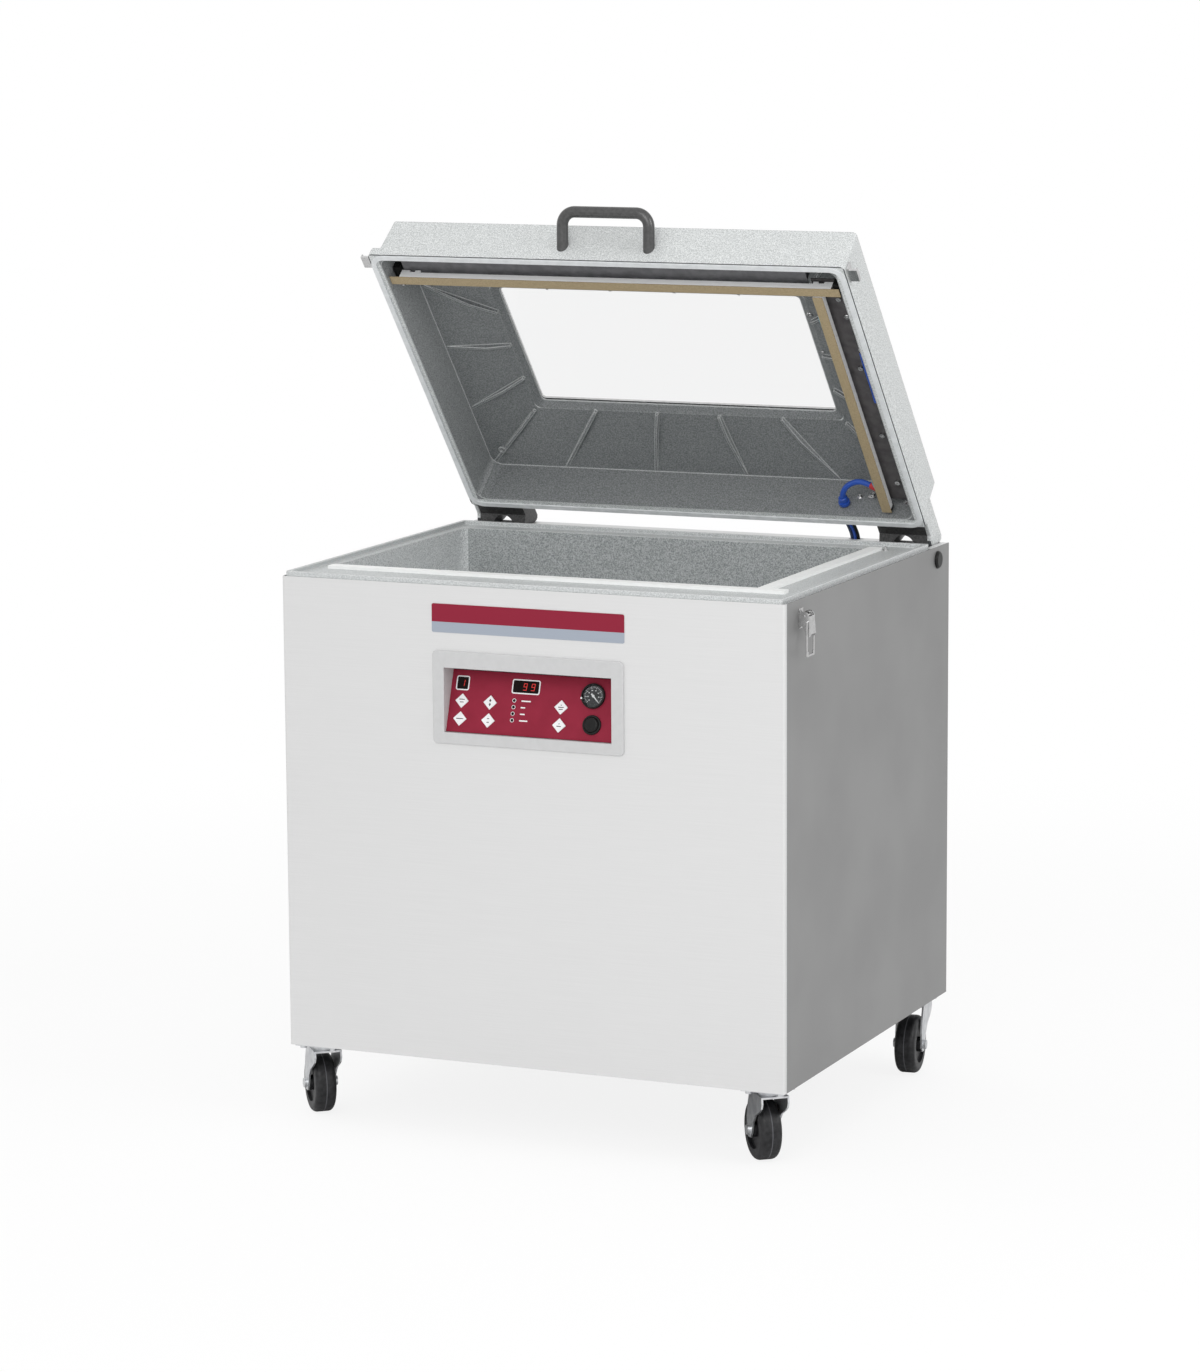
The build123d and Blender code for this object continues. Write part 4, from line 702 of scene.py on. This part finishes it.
def keyPieces():
    # small plain marks: bars on most keys, two arrows on one
    low = keyPrint["face"]
    high = low + 0.00012
    spots = [(x, row) for x in keyPrint["columns"] for row in keyPrint["rows"]]
    for number, (x, row) in enumerate(spots, 1):
        marks = bmesh.new()
        if number in keyPrint["bars"]:
            for rise, length in keyPrint["bars"][number]:
                addOutline(marks, roundedRect(length, 0.0013, 0.0003, (x, row + rise), 2), low, high)
        else:
            for way in (1, -1):
                arrow = [(x + way * px, row + way * py) for px, py in keyPrint["arrow"]]
                addOutline(marks, arrow, low, high)
        makePiece(f"key_mark_{number}", marks, markInk, f"key_{number}", plateFrame)


def gaugePieces():
    x, y = gaugePrint["centre"]
    face, ticks = bmesh.new(), bmesh.new()
    low = gaugePrint["face"]
    addOutline(face, circle(gaugePrint["radius"] - 0.0003, (x, y), 48), low - 0.0002, low + 0.0001)
    makePiece("gauge_dial", face, dialInk, "cabinet", plateFrame)
    count = gaugePrint["ticks"]
    for number in range(count + 1):
        angle = math.radians(90 + gaugePrint["sweep"] / 2 - gaugePrint["sweep"] * number / count)
        major = number % 4 == 0
        inner, outer = gaugePrint["majorInner" if major else "minorInner"], gaugePrint["tickOuter"]
        half = gaugePrint["majorHalf" if major else "minorHalf"]
        along = Vector((math.cos(angle), math.sin(angle)))
        across = Vector((-along.y, along.x))
        corners = [along * inner - across * half, along * outer - across * half,
                   along * outer + across * half, along * inner + across * half]
        addOutline(ticks, [(x + c.x, y + c.y) for c in corners], low + 0.0001, low + 0.0002)
        if major:
            spot = (x + along.x * gaugePrint["numberRadius"], y + along.y * gaugePrint["numberRadius"])
            addOutline(ticks, roundedRect(0.0022, 0.0014, 0.0004, spot, 2), low + 0.0001, low + 0.0002)
    makePiece("gauge_ticks", ticks, whiteFilm, "cabinet", plateFrame)
    stud = bmesh.new()
    across, up, out = gaugePrint["stud"]
    addRound(stud, gaugePrint["studRings"], 16, Matrix.Translation((x + across, y + up, out)))
    makePiece("gauge_stud", stud, whiteFilm, "cabinet", plateFrame)


panelPieces()
keyPieces()
gaugePieces()
print("control panel drawn")


# leads: their lines are NURBS splines on the points of their routes
def splineData(name, points, radius):
    data = bpy.data.curves.new(name, "CURVE")
    data.dimensions = "3D"
    data.resolution_u = 12
    data.bevel_depth = radius
    data.bevel_resolution = 4
    data.use_fill_caps = True
    spline = data.splines.new("NURBS")
    spline.points.add(len(points) - 1)
    for point, place in zip(spline.points, points):
        point.co = (*place, 1)
    spline.order_u = 3
    spline.use_endpoint_u = True
    return data


def lineOf(points):
    # the spline's own line, read back as a chain of points
    carrier = bpy.data.objects.new("line", splineData("line", points, 0))
    collection.objects.link(carrier)
    bpy.context.view_layer.update()
    mesh = bpy.data.meshes.new_from_object(carrier.evaluated_get(bpy.context.evaluated_depsgraph_get()))
    line = [Vector(vert.co) for vert in mesh.vertices]
    bpy.data.objects.remove(carrier)
    bpy.data.meshes.remove(mesh)
    return line


def addTube(mesh, line, radius, sides=14):
    # a round tube along a chain of points, closed at both ends
    loops = []
    across = None
    for number, point in enumerate(line):
        ahead = line[min(number + 1, len(line) - 1)] - line[max(number - 1, 0)]
        ahead.normalize()
        if across is None:
            across = ahead.orthogonal().normalized()
        across = (across - ahead * across.dot(ahead)).normalized()
        other = ahead.cross(across)
        loops.append([mesh.verts.new(point + radius * (across * math.cos(2 * math.pi * step / sides)
                                                       + other * math.sin(2 * math.pi * step / sides)))
                      for step in range(sides)])
    for one, two in zip(loops, loops[1:]):
        for step in range(sides):
            after = (step + 1) % sides
            mesh.faces.new((one[step], one[after], two[after], two[step]))
    mesh.faces.new(reversed(loops[0]))
    mesh.faces.new(loops[-1])


def shutPoint(x, y, z):
    # a place on the closed lid, in metres, where it is with the lid open
    return openTurn @ Vector((x, y, z))


# hinge leads: three leads from the deck's slot to the gland behind the lid;
# the route's x and y are from the slot, and the gland's y and z on the shut lid
hingeLead = {"slotX": 0.276, "slotY": 0.371, "pitch": 0.00575, "diameter": 0.0055, "length": 0.105,
             "route": ((0, 0, 0.886), (0, 0.0005, 0.912), (-0.008, -0.003, 0.936), (-0.018, -0.015, 0.958)),
             "gland": (-0.026, 0.26745, 0.958), "bendFrom": 0.914}


def hingeLeads():
    tones = (darkLead, bluePlastic, blackPlastic)
    y = hingeLead["slotY"]
    for number, tone in enumerate(tones, 1):
        x = hingeLead["slotX"] + (number - 2) * hingeLead["pitch"]
        shift, glandY, glandZ = hingeLead["gland"]
        end = shutPoint(x + shift, glandY, glandZ)
        points = [(x + across, y + back, z) for across, back, z in hingeLead["route"]] + [tuple(end)]
        line = lineOf(points)
        mesh = bmesh.new()
        addTube(mesh, line, hingeLead["diameter"] / 2)
        lead = makeObject(f"hinge_lead_{number}", mesh, tone)
        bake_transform(lead)
        if number == 2:
            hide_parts("hinge_cable")


# lid leads, on the shut lid: the side bar's heating lead and the air tube under the side carrier
lidLead = {
    "heating_lead": {"diameter": 0.010, "length": 0.089, "route": (
        (0.276, 0.2345, 0.940), (0.278, 0.2225, 0.943), (0.290, 0.2105, 0.949),
        (0.310, 0.2045, 0.952), (0.328, 0.2045, 0.946), (0.346, 0.2055, 0.938))},
    "carrier_air_tube": {"diameter": 0.006, "length": 0.113, "route": (
        (0.3945, -0.120, 0.9390), (0.3940, -0.083, 0.9380), (0.3945, -0.045, 0.9390), (0.3940, -0.007, 0.9380))},
}
leadEnds = {
    "glandSpot": (0.276, 0.2345, 0.940),
    "glandRings": ((0.0062, -0.001), (0.0078, 0.0004), (0.0078, 0.009), (0.0098, 0.0092),
                   (0.0098, 0.0148), (0.0085, 0.0156)),
    "sleeve": ((0.334, 0.2049, 0.9435), (0.339, 0.2052, 0.9412), (0.3462, 0.2055, 0.9378)),
    "sleeveRadius": 0.0060,
    "hingeGland": (0.238, 0.262, 0.2571, 0.26696, 0.951, 0.965, 0.0025, 3),
}


def lidLeads():
    for name, lead in lidLead.items():
        points = [shutPoint(*point) for point in lead["route"]]
        piece = bpy.data.objects.new(name, splineData(name, points, lead["diameter"] / 2))
        piece.data.materials.append(bluePlastic)
        collection.objects.link(piece)
        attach(piece, "lid")
        if name == "heating_lead":
            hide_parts("lid_cables")
    gland, clamp, sleeve = bmesh.new(), bmesh.new(), bmesh.new()
    along = Matrix.Translation(leadEnds["glandSpot"]) @ Matrix.Rotation(math.radians(-90), 4, "X")
    addRound(gland, leadEnds["glandRings"], 24, along)
    makePiece("heating_lead_gland", gland, bluePlastic, "lid", openTurn)
    addBlock(clamp, *leadEnds["hingeGland"])
    makePiece("hinge_lead_gland", clamp, blackPlastic, "lid", openTurn)
    addTube(sleeve, lineOf([shutPoint(*point) for point in leadEnds["sleeve"]]), leadEnds["sleeveRadius"], 18)
    makePiece("heating_lead_sleeve", sleeve, redSleeve, "lid", None)


# lid springs: a closed coil with an eye round the crank's pin; its top ends at the pin
spring = {"x": 0.250, "foot": 0.575, "low": 0.591, "high": 0.8505, "bendFrom": 0.835, "pin": (0.35582, 0.8645),
          "eye": 0.0058, "radius": 0.010, "wire": 0.0015, "turns": 28, "turnSteps": 16}


def lidSprings():
    pinY, pinZ = spring["pin"]
    radius, eyeRadius = spring["radius"], spring["eye"]
    steps = spring["turns"] * spring["turnSteps"]
    for side, label in ((1, "right"), (-1, "left")):
        edge = side * (spring["x"] + radius)
        line = [Vector((edge, pinY, spring["foot"]))]
        for step in range(steps + 1):
            angle = 2 * math.pi * step / spring["turnSteps"]
            line.append(Vector((side * (spring["x"] + radius * math.cos(angle)), pinY + radius * math.sin(angle),
                                spring["low"] + (spring["high"] - spring["low"]) * step / steps)))
        line.append(Vector((edge, pinY, pinZ - eyeRadius)))
        eye = [Vector((edge, pinY + eyeRadius * math.sin(math.radians(angle)),
                       pinZ - eyeRadius * math.cos(math.radians(angle)))) for angle in range(0, 361, 15)]
        mesh = bmesh.new()
        addTube(mesh, line, spring["wire"], 8)
        addTube(mesh, eye, spring["wire"], 8)
        coil = makeObject(f"lid_spring_{label}", mesh, darkSteel)
        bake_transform(coil)
        if side > 0:
            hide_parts("lid_springs")


# small parts in the lid, placed on the shut lid and turned open; screws are x, y, z and size
screwRings = ((0.0046, 0.0), (0.0046, 0.0026), (0.0041, 0.0032), (0.0023, 0.0032), (0.0021, 0.0016), (0.0002, 0.0015))
lidSmall = {
    "wallScrews": ((0.2990, 0.2481, 0.9571, 0.9), (0.3211, 0.2474, 0.9609, 1.3), (0.3888, 0.2491, 0.9520, 1.2)),
    "washer": ((0.0068, 0.0), (0.0068, 0.0010), (0.0062, 0.0014)),
    "downScrews": ((0.3855, -0.2560, 0.9423, 1.0), (0.3900, -0.2035, 0.9423, 1.1), (0.3540, 0.2200, 0.9423, 0.9),
                   (0.2867, -0.1329, 1.0130, 1.1), (0.2877, -0.0439, 1.0127, 0.8), (0.3940, -0.1260, 0.9423, 0.7),
                   (-0.394, -0.2545, 0.9375, 1.0), (0.3935, -0.2700, 0.9423, 0.9)),
    "endBlocks": ((-0.4015, -0.3885, -0.2900, -0.2630, 0.9375, 0.9560, 0.0012),
                  (-0.4010, -0.3890, -0.2615, -0.2490, 0.9375, 0.9470, 0.0010),
                  (0.3885, 0.4005, -0.2885, -0.2650, 0.9270, 0.9415, 0.0010),
                  (0.3510, 0.3650, 0.2425, 0.2505, 0.9270, 0.9410, 0.0010)),
    "bossSpot": (0.3697, 0.2070, 0.9933),
    "bossRings": ((0.0078, -0.004), (0.0074, 0.0048), (0.0068, 0.0054), (0.0048, 0.0054),
                  (0.0044, 0.0022), (0.0003, 0.0021)),
    "sensorRadius": 0.0009,
    "sensor_lead_front": ((0.3445, -0.226, 0.9425), (0.3425, -0.212, 0.936),
                          (0.3440, -0.196, 0.932), (0.3475, -0.186, 0.930)),
    "sensor_lead_rear": ((0.3440, 0.172, 0.944), (0.3410, 0.184, 0.937),
                         (0.3420, 0.196, 0.934), (0.3470, 0.203, 0.932)),
}


def addScrew(mesh, x, y, z, size, direction):
    turn = Vector(direction).to_track_quat("Z", "Y").to_matrix().to_4x4()
    rings = [(radius * size, height * size) for radius, height in screwRings]
    addRound(mesh, rings, 20, Matrix.Translation((x, y, z)) @ turn)


def lidDetails():
    bright, dark, boss = bmesh.new(), bmesh.new(), bmesh.new()
    for x, y, z, size in lidSmall["wallScrews"]:
        addScrew(bright, x, y, z, size, (0, -1, 0))
        under = Matrix.Translation((x, y + 0.0006, z)) @ Matrix.Rotation(math.radians(90), 4, "X")
        addRound(bright, [(radius * size, height) for radius, height in lidSmall["washer"]], 28, under)
    for spot in lidSmall["downScrews"]:
        addScrew(bright, *spot, (0, 0, -1))
    for block in lidSmall["endBlocks"]:
        addBlock(dark, *block)
    makePiece("lid_bright_screws", bright, brightSteel, "lid", openTurn)
    makePiece("bar_end_blocks", dark, blackPlastic, "lid", openTurn)
    # ring bosses of the casting in the rear corners, standing on the sloped ceiling
    x, y, z = lidSmall["bossSpot"]
    for side in (-1, 1):
        place = Matrix.Translation((side * x, y, z)) @ Matrix.Rotation(math.pi, 4, "X")
        addRound(boss, lidSmall["bossRings"], 28, place)
    makePiece("casting_bosses", boss, castOuter, "lid", openTurn)
    # fine leads beside the side bar
    for name in ("sensor_lead_front", "sensor_lead_rear"):
        mesh = bmesh.new()
        addTube(mesh, lineOf([shutPoint(*point) for point in lidSmall[name]]), lidSmall["sensorRadius"], 10)
        makePiece(name, mesh, paleLead, "lid", None)


# lid switch pin and the end screw of the side counter bar
ledgeSmall = {"pinSpot": (0.376, 0.245, 0.913), "screw": (0.3580, 0.2530, 0.913, 0.8),
              "pinRings": ((0.0048, 0.0), (0.0048, 0.0012), (0.0027, 0.0014), (0.0027, 0.0062),
                           (0.0020, 0.0070), (0.0004, 0.0072))}


def cabinetDetails():
    pin, screw = bmesh.new(), bmesh.new()
    addRound(pin, ledgeSmall["pinRings"], 24, Matrix.Translation(ledgeSmall["pinSpot"]))
    addScrew(screw, *ledgeSmall["screw"], (0, 0, 1))
    makePiece("lid_switch_pin", pin, brightSteel, "cabinet", None)
    makePiece("counter_bar_screw", screw, brightSteel, "cabinet", None)


hingeLeads()
lidLeads()
lidSprings()
lidDetails()
cabinetDetails()
print("leads, springs and small parts made")
